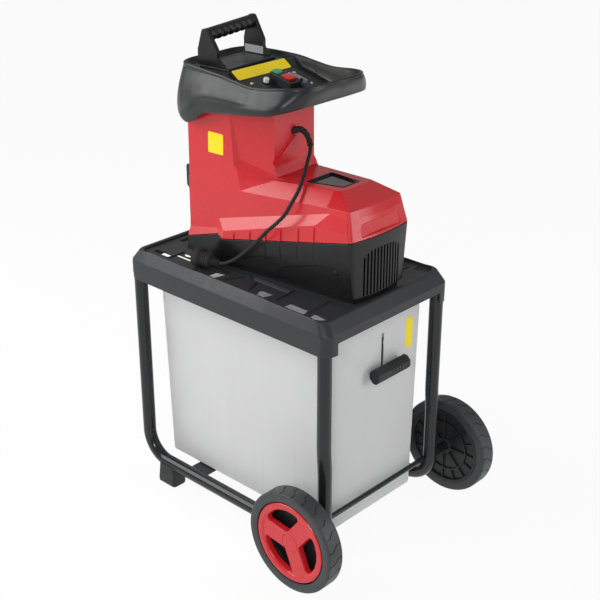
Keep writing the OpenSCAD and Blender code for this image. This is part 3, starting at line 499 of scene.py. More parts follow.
def hoop(name: str, seat: Seat, profile: Sequence[Flat], steps: int) -> Piece:
    """Turns a profile that closes on itself, so that the piece is a ring."""
    return lathe(name, seat, [*profile, profile[0]], steps, False)


def gather(pieces: Sequence[Piece], name: str = "") -> Piece:
    """Joins pieces into the first one, under a new name if one is given.

    Args:
        pieces: Pieces to join.
        name: Name of the whole.

    Returns:
        The first piece.
    """
    first = pieces[0].add(*pieces[1:])
    first.obj.name = first.obj.data.name = name or first.obj.name
    return first


def slab(name: str, seat: Seat, outline: Sequence[Flat], low: float, high: float) -> Piece:
    """Raises a flat outline between two heights of a seat."""
    return loft(name, [seat.ring(outline, low), seat.ring(outline, high)])


def block(name: str, lo: Point, hi: Point) -> Piece:
    """Raises a block between two corners."""
    corners = [(lo[0], lo[1]), (hi[0], lo[1]), (hi[0], hi[1]), (lo[0], hi[1])]
    return slab(name, GROUND, corners, lo[2], hi[2])


def fin(name: str, side: int, y: float, rows: Sequence[tuple[float, Sequence[Flat]]]) -> Piece:
    """Raises a fin on the left (-1) or right (1) side, from heights with sections of (x, way from y)."""
    return loft(name, [[(side * x, y + along, z) for x, along in section] for z, section in rows])


def sweep(name: str, path: Sequence[Point], radii: Sequence[float], steps: int = 20) -> Piece:
    """Draws a round bar along a path.

    Args:
        name: Name of the piece.
        path: Points of its middle line.
        radii: Radius at each point.
        steps: Corners of each ring.

    Returns:
        The closed piece.
    """
    places = [Vector(point) for point in path]
    last = len(places) - 1
    side = (places[1] - places[0]).orthogonal().normalized()
    rings = []
    for i, place in enumerate(places):
        way = (places[min(i + 1, last)] - places[max(i - 1, 0)]).normalized()
        side = (side - way * side.dot(way)).normalized()
        seat = Seat(tuple(place), tuple(side), tuple(way.cross(side)), tuple(way))
        rings.append(seat.ring(circle(radii[i], steps), 0))
    return loft(name, rings)


# Finishes

# Part of a noise's range that is used
NOISE_SPAN = (0.3, 0.7)
COAT_ROUGHNESS = 0.08
# Depth that light goes into milky plastic
MILK_DEPTH = 14.0
SOLID_METAL = 1.0


def srgb(red: int, green: int, blue: int) -> tuple[float, float, float, float]:
    """Linear colour of three screen values from 0 to 255.

    Args:
        red: Red value.
        green: Green value.
        blue: Blue value.

    Returns:
        The colour, fully opaque.
    """
    parts = [value / 255 for value in (red, green, blue)]
    line = [c / 12.92 if c <= 0.04045 else ((c + 0.055) / 1.055) ** 2.4 for c in parts]
    return (*line, 1.0)


class Graph:
    """Node tree of one material."""

    def __init__(self, name: str) -> None:
        """Starts a material with a shader, its output and the object's own coordinates.

        Args:
            name: Name of the material.
        """
        self.material = bpy.data.materials.new(name)
        self.material.use_nodes = True
        self.tree = self.material.node_tree
        self.shader = self.tree.nodes["Principled BSDF"]
        self.places = self.tree.nodes.new("ShaderNodeTexCoord").outputs["Object"]

    def add(self, kind: str, **inputs: object) -> bpy.types.Node:
        """Adds a node, with values or links on its inputs by name.

        Args:
            kind: Type of the node.
            inputs: What goes on each input.

        Returns:
            The node.
        """
        node = self.tree.nodes.new("ShaderNode" + kind)
        for key, value in inputs.items():
            self.put(node.inputs[key.replace("_", " ")], value)
        return node

    def put(self, socket: Socket, value: object) -> None:
        """Sets a socket to a value, or links it to another socket.

        Args:
            socket: Socket to set.
            value: Value, or the socket to link from.
        """
        if isinstance(value, Socket):
            self.tree.links.new(value, socket)
        else:
            socket.default_value = value

    def calc(self, operation: str, a: object, b: object) -> Socket:
        """Outcome of a calculation on two values or sockets.

        Args:
            operation: Name of the calculation.
            a: First value.
            b: Second value.

        Returns:
            Socket of the outcome.
        """
        node = self.add("Math")
        node.operation = operation
        self.put(node.inputs[0], a)
        self.put(node.inputs[1], b)
        return node.outputs[0]

    def noise(self, size: float, stretch: Point = (1.0, 1.0, 1.0), detail: float = 2.0) -> Socket:
        """Noise of a grain size in millimetres, stretched by three factors."""
        places = self.add("Mapping", Vector=self.places, Scale=stretch).outputs["Vector"]
        return self.add("TexNoise", Vector=places, Scale=1 / (size * MM), Detail=detail).outputs["Fac"]

    def between(self, share: Socket, low: float, high: float) -> Socket:
        """Value that follows a share from low to high.

        Args:
            share: Socket of the noise.
            low: Value at its low end.
            high: Value at its high end.

        Returns:
            Socket of the value.
        """
        node = self.add("MapRange", Value=share)
        for name, value in zip(("From Min", "From Max", "To Min", "To Max"), (*NOISE_SPAN, low, high)):
            node.inputs[name].default_value = value
        return node.outputs["Result"]

    def blend(self, share: Socket, a: Sequence[float], b: Sequence[float]) -> Socket:
        """Colour that follows a share from a to b.

        Args:
            share: Socket from 0 to 1.
            a: Colour at 0.
            b: Colour at 1.

        Returns:
            Socket of the colour.
        """
        node = self.add("Mix")
        node.data_type = "RGBA"
        for socket, value in zip((0, 6, 7), (share, a, b)):
            self.put(node.inputs[socket], value)
        return node.outputs[2]


@dataclass(frozen=True)
class Finish:
    """A moulded, painted or plated surface."""

    name: str
    colour: tuple[float, float, float, float]
    roughness: float = 0.4
    wander: float = 0.06
    mottle: float = 0.06
    grain: float = 0.8
    depth: float = 0.02
    metallic: float = 0.0
    coat: float = 0.0
    clear: float = 0.0
    gleam: float = 0.5
    milk: float = 0.0
    stretch: Point = (1.0, 1.0, 1.0)
    patch: float = 60.0

    def material(self) -> bpy.types.Material:
        """Makes the material, or finds the one made before."""
        made = bpy.data.materials.get(self.name)
        return made or self.mix_nodes(Graph(self.name))

    def mix_nodes(self, graph: Graph) -> bpy.types.Material:
        """Fills a node tree with the finish.

        Args:
            graph: Tree of a new material.

        Returns:
            The filled material.
        """
        patch = graph.noise(self.patch, self.stretch, 3.0)
        dark = [c * (1 - self.mottle) for c in self.colour[:3]] + [1.0]
        light = [min(c * (1 + self.mottle), 1.0) for c in self.colour[:3]] + [1.0]
        shader = graph.shader
        graph.put(shader.inputs["Base Color"], graph.blend(graph.between(patch, 0, 1), dark, light))
        low, high = self.roughness - self.wander, self.roughness + self.wander
        rough = graph.noise(self.patch / 4, self.stretch)
        graph.put(shader.inputs["Roughness"], graph.between(rough, max(low, 0.03), high))
        plain = {
            "Metallic": self.metallic, "Coat Weight": self.coat, "Coat Roughness": COAT_ROUGHNESS,
            "Transmission Weight": self.clear, "Specular IOR Level": self.gleam,
            "Subsurface Weight": self.milk, "Subsurface Scale": MILK_DEPTH * MM,
            "Subsurface Radius": (1.0, 1.0, 1.0),
        }
        for key, value in plain.items():
            shader.inputs[key].default_value = value
        if self.depth:
            grain = graph.noise(self.grain, self.stretch)
            bump = graph.add("Bump", Height=grain, Distance=self.depth * MM, Strength=1.0)
            graph.put(shader.inputs["Normal"], bump.outputs["Normal"])
        return graph.material


RED = Finish("gloss_red", srgb(204, 34, 42), 0.26, 0.02, 0.02, 4.0, 0.0, gleam=0.55)
GRAINED = Finish("grained_black", srgb(46, 47, 49), 0.42, 0.05, 0.08, 0.7, 0.05, gleam=0.35)
MOULDED = Finish("moulded_black", srgb(30, 31, 33), 0.34, 0.05, 0.08, 0.8, 0.03, gleam=0.4)
SATIN = Finish("satin_black", srgb(32, 33, 35), 0.4, 0.06, 0.1, 0.9, 0.03, gleam=0.35)
DEEP = Finish("deep_black", srgb(20, 20, 22), 0.34, 0.06, 0.08, 0.9, 0.02, gleam=0.35)
GLOSS = Finish("gloss_black", srgb(12, 12, 14), 0.16, 0.03, 0.05, 3.0, 0.004, coat=0.3)
TUBE = Finish("tube_coating", srgb(30, 31, 33), 0.14, 0.03, 0.05, 1.6, 0.008, gleam=0.4)
TYRE = Finish("tyre_rubber", srgb(56, 58, 61), 0.42, 0.05, 0.06, 0.6, 0.03, gleam=0.4)
PALE = Finish(
    "pale_plastic", srgb(243, 244, 245), 0.4, 0.04, 0.008, 0.7, 0.01,
    milk=0.85, stretch=(1, 1, 0.05), patch=18,
)
RUBBER = Finish("cord_rubber", srgb(6, 6, 7), 0.16, 0.03, 0.06, 0.5, 0.002, gleam=0.4, coat=0.4)
YELLOW = Finish("yellow_strip", srgb(252, 222, 16), 0.4, 0.04, 0.03, 1.0, 0.004)
GREY = Finish("grey_strip", srgb(150, 153, 156), 0.4, 0.05, 0.04, 1.0, 0.004)
GREEN = Finish("green_key", srgb(60, 165, 105), 0.3, 0.04, 0.04, 1.0, 0.004)
STOP_RED = Finish("red_key", srgb(205, 22, 28), 0.2, 0.03, 0.03, 2.0, 0.003, coat=0.4)
SMOKE = Finish("smoke_plastic", srgb(150, 155, 160), 0.16, 0.03, 0.04, 2.0, 0.003, clear=0.2)
CLEAR = Finish("clear_cap", srgb(226, 228, 230), 0.2, 0.04, 0.03, 1.0, 0.003)
STEEL = Finish("steel", srgb(176, 178, 182), 0.32, 0.07, 0.06, 0.6, 0.004, SOLID_METAL, stretch=(1, 6, 1))
PLATED = Finish("plated_pins", srgb(214, 206, 186), 0.22, 0.05, 0.05, 0.8, 0.003, SOLID_METAL)
WINDING = Finish("winding", srgb(150, 92, 52), 0.4, 0.08, 0.12, 0.7, 0.06, 0.6)
LAMINATED = Finish(
    "laminated_steel", srgb(140, 142, 146), 0.42, 0.08, 0.1, 0.6, 0.03, 0.9, stretch=(1, 12, 1)
)
CAST = Finish("cast_bracket", srgb(168, 170, 173), 0.55, 0.06, 0.06, 0.9, 0.06, 0.9)


# Stage and lead


@dataclass
class Studio:
    """Pale floor, soft light and the camera."""

    eye: Point = (-1.5250, -1.4319, 1.3936)
    gaze: Point = (0.662, 0.622, -0.419)
    lens: float = 72.94
    sensor: float = 36.0
    floor: float = 12.0
    floor_shades: Flat = (0.88, 0.9)
    floor_roughness: float = 0.9
    floor_gleam: float = 0.1
    cloud: float = 400.0
    sky: float = 0.38
    glow: float = 0.93
    aim: Point = (0.0, 0.0, 0.45)
    lamps: tuple[tuple[str, Point, Flat, float], ...] = (
        ("back_lamp", (-1.4, 1.7, 1.75), (1.8, 1.8), 44),
        ("left_lamp", (-2.3, -1.5, 1.7), (0.7, 0.7), 25),
        ("right_lamp", (1.3, -2.5, 1.2), (0.9, 2.2), 22),
    )

    def build(self) -> None:
        """Sets the camera, the floor, the sky and the lamps."""
        self.camera()
        self.backdrop()
        for lamp in self.lamps:
            self.lamp(*lamp)
        bpy.context.scene.view_settings.view_transform = "Standard"
        LOG.info("studio")

    def camera(self) -> None:
        """Looks at the machine from its front left, above."""
        bpy.ops.object.camera_add(location=self.eye)
        camera = bpy.context.object
        camera.rotation_euler = Vector(self.gaze).to_track_quat("-Z", "Y").to_euler()
        camera.data.lens = self.lens
        camera.data.sensor_width = self.sensor
        camera.data.dof.use_dof = False
        bpy.context.scene.camera = camera

    def seen(self, graph: Graph) -> Socket:
        """Share that is 1 for what the camera sees, straight, mirrored or through clear parts.

        Args:
            graph: Tree to add the nodes to.

        Returns:
            Socket of the share.
        """
        path = graph.add("LightPath")
        total = path.outputs["Is Camera Ray"]
        for name in ("Is Glossy Ray", "Is Transmission Ray"):
            total = graph.calc("MAXIMUM", total, path.outputs[name])
        return total

    def backdrop(self) -> None:
        """Lays a floor that is white to the camera, and sets the sky."""
        bpy.ops.object.select_all(action="DESELECT")
        bpy.ops.mesh.primitive_plane_add(size=self.floor, location=(0, 0, 0))
        ground = bpy.context.object
        ground.name = "floor"
        graph = Graph("pale_floor")
        spread = graph.between(graph.noise(self.cloud), 0, 1)
        shades = [(shade, shade, shade, 1) for shade in self.floor_shades]
        graph.put(graph.shader.inputs["Base Color"], graph.blend(spread, *shades))
        graph.shader.inputs["Roughness"].default_value = self.floor_roughness
        graph.shader.inputs["Specular IOR Level"].default_value = self.floor_gleam
        glow = graph.add("Emission", Color=(1, 1, 1, 1), Strength=1.0)
        share = graph.calc("MULTIPLY", self.seen(graph), self.glow)
        both = graph.add("MixShader")
        for socket, value in zip(both.inputs, (share, graph.shader.outputs[0], glow.outputs[0])):
            graph.put(socket, value)
        graph.put(graph.tree.nodes["Material Output"].inputs["Surface"], both.outputs[0])
        ground.data.materials.append(graph.material)
        ground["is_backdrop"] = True
        world = bpy.data.worlds.new("sky")
        world.use_nodes = True
        sky = world.node_tree.nodes["Background"]
        sky.inputs["Color"].default_value = (1, 1, 1, 1)
        sky.inputs["Strength"].default_value = self.sky
        bpy.context.scene.world = world

    def lamp(self, name: str, place: Point, size: Flat, power: float) -> None:
        """Hangs a soft lamp that shines on the machine.

        Args:
            name: Name of the lamp.
            place: Where it hangs, in metres.
            size: Width and height of its face in metres.
            power: Power in watts.
        """
        bpy.ops.object.light_add(type="AREA", location=place)
        light = bpy.context.object
        light.name = name
        light.data.shape = "RECTANGLE"
        light.data.size, light.data.size_y = size
        light.data.energy = power
        light.rotation_euler = (Vector(self.aim) - Vector(place)).to_track_quat("-Z", "Y").to_euler()
        light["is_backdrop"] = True


@dataclass
class MainsLead:
    """Short mains lead from the tower's front to a round plug on the platform."""

    route: tuple[Point, ...] = (
        (12, -52, 733), (4, -58, 723), (-8, -64, 713), (-24, -74, 704), (-43, -86, 696),
        (-62, -97, 687), (-78, -101, 674), (-90, -99, 659), (-97, -94, 644), (-103, -77, 623),
        (-108, -56, 602), (-112, -41, 584), (-116, -24, 566), (-118.5, -8, 551.3),
        (-121, 8, 537.6), (-122.4, 24, 526.9), (-123.6, 38, 520.2), (-124.5, 50, 517.2),
    )
    sleeve: tuple[Point, ...] = (
        (-5, -18, 757), (0, -27, 760), (7, -33, 760.5), (13, -41, 752), (12, -52, 733),
    )
    thick: float = 6.6
    plug_yaw: float = 6.0
    pin_pitch: float = 19.0

    def build(self) -> None:
        """Makes the cord, its bend sleeve, the plug and the pins."""
        path = spline(self.route, 4)
        length = sum((Vector(a) - Vector(b)).length for a, b in zip(path, path[1:]))
        cord = sweep("mains_lead", path, [self.thick / 2] * len(path), 18).smooth(60)
        cord_obj = cord.fit(RUBBER, "cord_rubber", "mains_cord")
        plug = self.plug().fit(RUBBER, "cord_rubber", "plug_body")
        pins = self.pins().fit(PLATED, "brass_pins", "plug_pins")
        at(*self.route[0])
        [tuple(at(*p)) for p in path]
        self.bend_sleeve().fit(RUBBER, "cord_rubber", "bend_sleeve")

    def plug_seat(self) -> Seat:
        """Seat at the cord's end whose third direction is the plug's axis.

        Returns:
            The seat.
        """
        yaw = math.radians(self.plug_yaw)
        way = (-math.sin(yaw), math.cos(yaw), 0.0)
        return Seat(self.route[-1], (math.cos(yaw), math.sin(yaw), 0.0), (0.0, 0.0, 1.0), way)

    def plug(self) -> Piece:
        """Turns the plug: ringed bend guard, waisted body and a wide face.

        Returns:
            The plug.
        """
        profile = [(0, -0.2), (5.2, 0)]
        for ring in range(4):
            low, swell = 0.6 + ring * 3.4, 5.6 + ring * 0.6
            profile += [(swell, low), (swell + 0.9, low + 0.7)]
            profile += [(swell + 0.9, low + 1.7), (swell - 0.4, low + 2.3)]
        profile += [(8.6, 14.2), (10.6, 16), (13, 18), (13.8, 20)]
        for ring in range(3):
            low = 21.5 + ring * 5
            profile += [(14, low), (14, low + 3), (13, low + 3.6), (13, low + 4.4)]
        profile += [(14, 36.5), (15.4, 40), (17.4, 42.2), (18, 43.2)]
        profile += [(18, 54.6), (17.4, 55.7), (16.4, 56), (0, 56)]
        return lathe("plug", self.plug_seat(), profile, 48).smooth(40)

    def pins(self) -> Piece:
        """Turns two round-ended pins side by side.

        Returns:
            Both pins as one piece.
        """
        seat = self.plug_seat()
        places = [seat.put(side * self.pin_pitch / 2, 0, 0) for side in (-1, 1)]
        spots = [Seat(place, seat.u, seat.v, seat.w) for place in places]
        profile = [(0, 55), (2, 55), (2, 65), (2.4, 65.6), (2.4, 73), (2, 74.2), (1, 74.9), (0, 75)]
        return gather([lathe("pin", spot, profile, 20).smooth(50) for spot in spots], "contact_pins")

    def bend_sleeve(self) -> Piece:
        """Draws the ribbed sleeve that guards the cord at the tower.

        Returns:
            The sleeve.
        """
        path = spline(self.sleeve, 12)
        last = len(path) - 1
        radii = []
        for i in range(last + 1):
            base = mix(6.6, 5.0, min(i / (last - 4), 1))
            radii.append(base - (0.7 if i % 6 in (3, 4) and 6 < i < last - 3 else 0.0))
        radii[-3:] = [5.9, 5.9, 5.0]
        return sweep("cord_sleeve", path, radii, 28).smooth(40)


# Running gear

# Middle of the axle, and the place of the right rear leg's axis
AXLE = (0.0, -239.0, 98.0)
LEG = (155.5, 241.5)


@dataclass
class TubeFrame:
    """Two bent tubes with straps, feet and the axle."""

    spread: float = LEG[0]
    tube: float = 13.0
    leg: float = LEG[1]
    front_leg: float = 244.5
    joggle: Flat = (262.0, 194.0)
    top: float = 478.0
    rail: float = 46.0
    bend: float = 55.0

    def build(self) -> None:
        """Makes both tubes, the straps, the feet and the axle."""
        path = self.path()
        radii = [self.tube] * len(path)
        tube = sweep("right_tube", path, radii, 32).bevel(0.8, 2, 60).smooth(40)
        twin = tube.opposite("left_tube").smooth(40)
        tube.fit(TUBE, "black_gloss_metal", "right_frame_tube")
        twin.fit(TUBE, "black_gloss_metal", "left_frame_tube")
        for name, y in (("rear", 110.0), ("front", -150.0)):
            outline = plate((-166, y - 23), (166, y + 23), 6)
            strap = slab(name + "_tie", GROUND, outline, 46.5, 49.5).bevel(0.8).smooth()
            strap.fit(TUBE, "black_gloss_metal", name + "_strap")
        foot = self.foot()
        other = foot.opposite("left_rest").smooth()
        foot.fit(SATIN, "black_plastic", "right_foot")
        other.fit(SATIN, "black_plastic", "left_foot")
        profile = [(0, -238), (4, -238), (5, -236.5), (5, 236.5), (4, 238), (0, 238)]
        axle = lathe("wheel_axle", Facing.RIGHT.seat(*AXLE), profile, 32).smooth()
        axle.fit(TUBE, "black_gloss_metal", "axle")

    def path(self) -> Ring:
        """Middle line of the right tube from the front leg's top to the rear leg's.

        Returns:
            The points of the line.
        """
        x, leg, front = self.spread, self.leg, self.front_leg
        high, low = self.joggle
        line: Ring = [(x, -leg, z) for z in (self.top, 400.0, 330.0, high)]
        for t in (step / 12 for step in range(1, 12)):
            line.append((x, -mix(leg, front, ease(0, 1, t)), mix(high, low, t)))
        line += [(x, -front, z) for z in (low, 150.0)]
        bend, height = self.bend, self.rail + self.bend
        turns = [math.radians(90 * step / 16) for step in range(17)]
        line += [(x, bend - front - bend * math.cos(a), height - bend * math.sin(a)) for a in turns]
        line += [(x, y, self.rail) for y in (-90.0, 0.0, 90.0)]
        line += [(x, leg - bend + bend * math.sin(a), height - bend * math.cos(a)) for a in turns]
        line += [(x, leg, z) for z in (180.0, 300.0, 400.0, self.top)]
        return line

    def foot(self) -> Piece:
        """Raises a tapering foot under the right tube's rear half.

        Returns:
            The right foot.
        """
        rings = []
        for z, grow, radius in ((0.2, -3, 5), (2, -0.6, 6), (8, 0, 6), (30, -1.5, 6), (45, -2.5, 6)):
            lo, hi = (self.spread - 17 - grow, 153 - grow), (self.spread + 17 + grow, 203 + grow)
            rings.append(GROUND.ring(plate(lo, hi, radius), z))
        return loft("right_rest", rings).bevel(0.8, 2, 50).smooth()


@dataclass
class Wheel:
    """Plastic wheel: treaded tyre, ribbed rim and a red cap with three windows."""

    tyre: float = AXLE[2]
    rim: float = 80.0
    inner: float = 208.0
    outer: float = 244.0
    treads: int = 24
    ribs: int = 16
    spoke: float = 34.0
    spoke_turn: float = 7.0
    window: float = 64.5

    def build(self) -> None:
        """Makes the right wheel and copies it to the left."""
        parts = (
            (self.tread(), "tyre", TYRE, "tyre", 36),
            (self.rim_part(), "rim", SATIN, "black_plastic", 32),
            (self.cap(), "cap", RED, "red_plastic", 32),
        )
        for piece, name, finish, slot, angle in parts:
            node = "tyre" if name == "tyre" else "wheel_" + name
            twin = piece.opposite("left_" + name).smooth(angle)
            piece.smooth(angle).fit(finish, slot, "right_" + node, body=Body.RIGHT_WHEEL)
            twin.fit(finish, slot, "left_" + node, body=Body.LEFT_WHEEL)

    def seat(self, turn: float = 0.0) -> Seat:
        """Seat on the wheel's axis, turned by an angle in degrees."""
        return Facing.RIGHT.seat(*AXLE).turned(turn)

    def tread(self) -> Piece:
        """Turns the tyre and cuts its zigzag grooves.

        Returns:
            The tyre.
        """
        lo, hi, top = self.inner, self.outer, self.tyre
        side = [(self.rim, lo + 1.4), (82, lo + 0.4), (90, lo), (95, lo + 0.2), (96.6, lo + 1)]
        side += [(top - 0.6, lo + 2.2), (top, lo + 4)]
        profile = side + [(r, lo + hi - x) for r, x in reversed(side)]
        tyre = hoop("right_tyre_tread", self.seat(), profile, 160)
        zig = [(-7, lo - 1), (-5, lo - 1), (-5, 221), (5, 231)]
        zig += [(5, hi + 1), (3, hi + 1), (3, 232), (-7, 222)]
        tools = []
        for k in range(self.treads):
            seat = self.seat(360 * k / self.treads)
            rings = [[seat.put(r, t, x) for t, x in zig] for r in (top - 1.6, top + 3)]
            tools.append(loft("groove", rings))
        return tyre.cut(gather(tools))

    def rim_part(self) -> Piece:
        """Turns barrel, web and hub, and sets thin ribs on the inner side.

        Returns:
            The rim.
        """
        lo = self.inner
        profile = [
            (5.6, lo), (14.6, lo), (16, lo + 1), (16, lo + 4), (17, lo + 5), (72, lo + 5), (73.4, lo + 4),
            (73.8, lo + 1), (74.8, lo), (79, lo), (80, lo + 1), (80, 238.5), (79, 239.4), (74.8, 239.4),
            (74, 238.4), (74, lo + 11), (73, lo + 10), (17, lo + 10), (16, lo + 11), (16, 231), (15, 232),
            (5.6, 232),
        ]
        rim = hoop("right_rim_barrel", self.seat(), profile, 96)
        ribs = []
        for k in range(self.ribs):
            seat, start = self.seat(360 * k / self.ribs), (15.0, 52.0)[k % 2]
            rings = []
            for x, w in ((lo + 5.6, 1.1), (lo + 1.4, 0.8)):
                rings.append(seat.ring([(start, -w), (75, -w), (75, w), (start, w)], x))
            ribs.append(loft("rib", rings))
        profile = [(50.5, lo + 5.6), (50.7, lo + 1.6), (53.3, lo + 1.6), (53.5, lo + 5.6)]
        return rim.add(*ribs, hoop("rib_ring", self.seat(), profile, 96))

    def cap(self) -> Piece:
        """Turns the red cap and cuts three drafted windows through it.

        Returns:
            The cap.
        """
        back, face = 230.4, 243.4
        profile = [
            (19.6, back), (72.8, back), (73.6, back + 1), (73.6, 239.8), (76.4, 240), (77.3, 240.8),
            (77.3, 242.2), (76.4, face - 0.1), (74.5, face), (69, face), (67.4, face - 0.2), (66.4, 242.4),
            (65.4, 241.5), (60, 241.2), (19.2, 241.6), (18.5, 241.6), (18.1, 240.9), (17.5, 240.9),
            (17.1, 241.6), (0, 241.8), (0, 240.2), (18.4, 240.4), (19.6, 239.6),
        ]
        cap = hoop("right_cap_face", self.seat(), profile, 128)
        rows = ((back - 3, -2.2), (238, -1.2), (240.6, -0.3), (241.6, 0.8), (246, 4))
        for k in range(3):
            seat = self.seat(self.spoke_turn + 120 * k)
            cap.cut(loft("window", [seat.ring(self.window_outline(grow), x) for x, grow in rows]))
        return cap

    def window_outline(self, grow: float) -> list[Flat]:
        """Three-cornered outline of a window between two spokes, grown by a margin.

        Args:
            grow: Margin added all round.

        Returns:
            The outline.
        """
        half, outer = self.spoke / 2 - grow, self.window + grow
        lean = math.degrees(math.asin(half / outer))
        angles = [math.radians(mix(lean, 120 - lean, k / 6)) for k in range(7)]
        corners = [(half / math.tan(math.radians(60)), half)]
        corners += [(outer * math.cos(a), outer * math.sin(a)) for a in angles]
        return rounded(corners, [6.0 + grow, 6.5 + grow, 0, 0, 0, 0, 0, 6.5 + grow], 5)


# Platform and box

# Middle of the lock's slot in the bin's front
LOCK_SLOT = 20.0


@dataclass
class Platform:
    """Deck with a chamfered rim, slots, ribs and sockets for the legs."""

    half: Flat = (170.0, 260.0)
    corner: float = 22.0
    deck: float = 499.0
    rim: tuple[tuple[float, float, int], ...] = (
        (22, 496.4, 0), (9, 495.5, 1), (3.4, 481, 0), (3, 479, 0), (3, 442.3, 0), (2.4, 442, 0),
        (0.9, 442, 0), (0.2, 442.6, 0), (0, 443.6, 0), (0, 480.2, 0), (0.2, 481.4, 0), (0.8, 482.6, 0),
        (7, 501.2, 1), (7.7, 502.3, 1), (8.8, 503, 1), (10.6, 503, 1), (11.4, 502.7, 1), (11.9, 502, 1),
        (12.2, 499.6, 1), (12.8, 499, 1),
    )
    crest: tuple[Flat, ...] = (
        (-208, 2.2), (-112, 2.5), (-92, 5.2), (40, 5.4), (64, 6), (90, 3.6), (208, 4),
    )
    end_slope: float = 1.1
    slots: tuple[tuple[Flat, ...], ...] = (
        ((-151, 57), (-126.5, 56), (-121, 32), (-151, 39)),
        ((-151, -70), (-127, -60), (-125, -94), (-151, -86)),
        ((-152, -138), (-131.5, -139), (-132, -184), (-152, -187)),
        ((-153, -201), (-133.5, -199), (-138, -233), (-153, -233)),
        ((-141, 217), (-129, 217), (-129, 175), (-141, 175)),
        ((-126, 173), (-118, 173), (-118, 95), (-126, 95)),
    )
    ribs: tuple[tuple[Flat, Flat], ...] = (
        ((-143, 170), (-104, 170)), ((-143, 84), (-99, 80)), ((-144, 21), (-102, 0)),
        ((-143, -46), (-112, -34)), ((-143, -112), (-90, -108)), ((-143, -188), (-84, -184)),
        ((-112, 92), (-104, -12)),
    )
    rib_half: float = 1.7

    def build(self) -> None:
        """Draws the rim, opens the deck and adds ribs and sockets."""
        body = loft("deck_plate", [self.ring(*row) for row in self.rim])
        for y in (-self.half[1], self.half[1]):
            body.cut(slab("end_gap", Facing.REAR.seat(0, y), plate((-142, 430), (142, 465), 2.5), -22, 22))
        body.cut(self.openings())
        body.bevel(0.7, 2, 40)
        body.add(*self.sockets(), *self.raised())
        body.smooth(38).fit(GRAINED, "grey_black_plastic", "platform")

    def ring(self, inset: float, z: float, crest: int) -> Ring:
        """Ring of the rim at an inset.

        Args:
            inset: Inset from the platform's outline.
            z: Height of the ring.
            crest: 1 where the ring steps in and out along the sides, as the crest does.

        Returns:
            The ring's points.
        """
        lo = (inset - self.half[0], inset * (1 + self.end_slope * crest) - self.half[1])
        corner = plate(lo, (-lo[0], -lo[1]), max(self.corner - 0.25 * inset, 6), 8)
        steps = [y for y, _ in self.crest]
        quarter = len(corner) // 4
        right = [(-lo[0], y) for y in steps]
        left = [(lo[0], y) for y in reversed(steps)]
        outline = corner[:quarter] + right + corner[quarter : 3 * quarter] + left + corner[3 * quarter :]
        made = []
        for x, y in outline:
            step = table(self.crest, y) * crest if steps[0] <= y <= steps[-1] else 0.0
            made.append((x - math.copysign(step, x), y, z))
        return made

    def openings(self) -> Piece:
        """Tools for the slots beside the housing and the opening under it.

        Returns:
            All tools as one piece.
        """
        places = [[(s * x, y) for x, y in slot] for slot in self.slots for s in (1, -1)]
        places += [[(x - 17, 210), (x + 17, 210), (x + 17, 222), (x - 17, 222)] for x in (-54, 54)]
        places.append([(-62, 4), (62, 4), (62, 70), (-62, 70)])
        outlines = [rounded(corners, [2.5] * 4, 3) for corners in places]
        low, high = self.deck - 8, self.deck + 0.4
        return gather([slab("slot", GROUND, outline, low, high) for outline in outlines])

    def sockets(self) -> list[Piece]:
        """Turned sockets that take the four legs.

        Returns:
            The four sockets.
        """
        profile = [(13.2, 454), (13.9, 454), (14.4, 454.6), (14.4, 479), (13.2, 479)]
        places = [(x * LEG[0], y * LEG[1], 0) for x in (-1, 1) for y in (-1, 1)]
        return [hoop("socket", Seat(place), profile, 40) for place in places]

    def raised(self) -> list[Piece]:
        """Low ribs on the deck and a sloping bar beside the housing, on both sides.

        Returns:
            The ribs and bars.
        """
        made = []
        for side in (1, -1):
            for (x0, y0), (x1, y1) in self.ribs:
                way = Vector((x1 - x0, y1 - y0)).normalized() * self.rib_half
                foot = [(x0 - way.y, y0 + way.x), (x0 + way.y, y0 - way.x)]
                foot += [(x1 + way.y, y1 - way.x), (x1 - way.y, y1 + way.x)]
                rib = slab("rib", GROUND, [(side * x, y) for x, y in foot], self.deck - 2, self.deck + 2.2)
                made.append(rib.bevel(0.7, 2))
            rings = []
            for y, near in ((-20, -105), (-22, -105.4), (-107, -106), (-109, -105.6)):
                section = ((near, 497), (near, 500), (near + 6.4, 503), (near + 7.4, 497))
                rings.append([(side * x, y, z) for x, z in section])
            made.append(loft("bar", rings).bevel(0.6, 2))
        return made


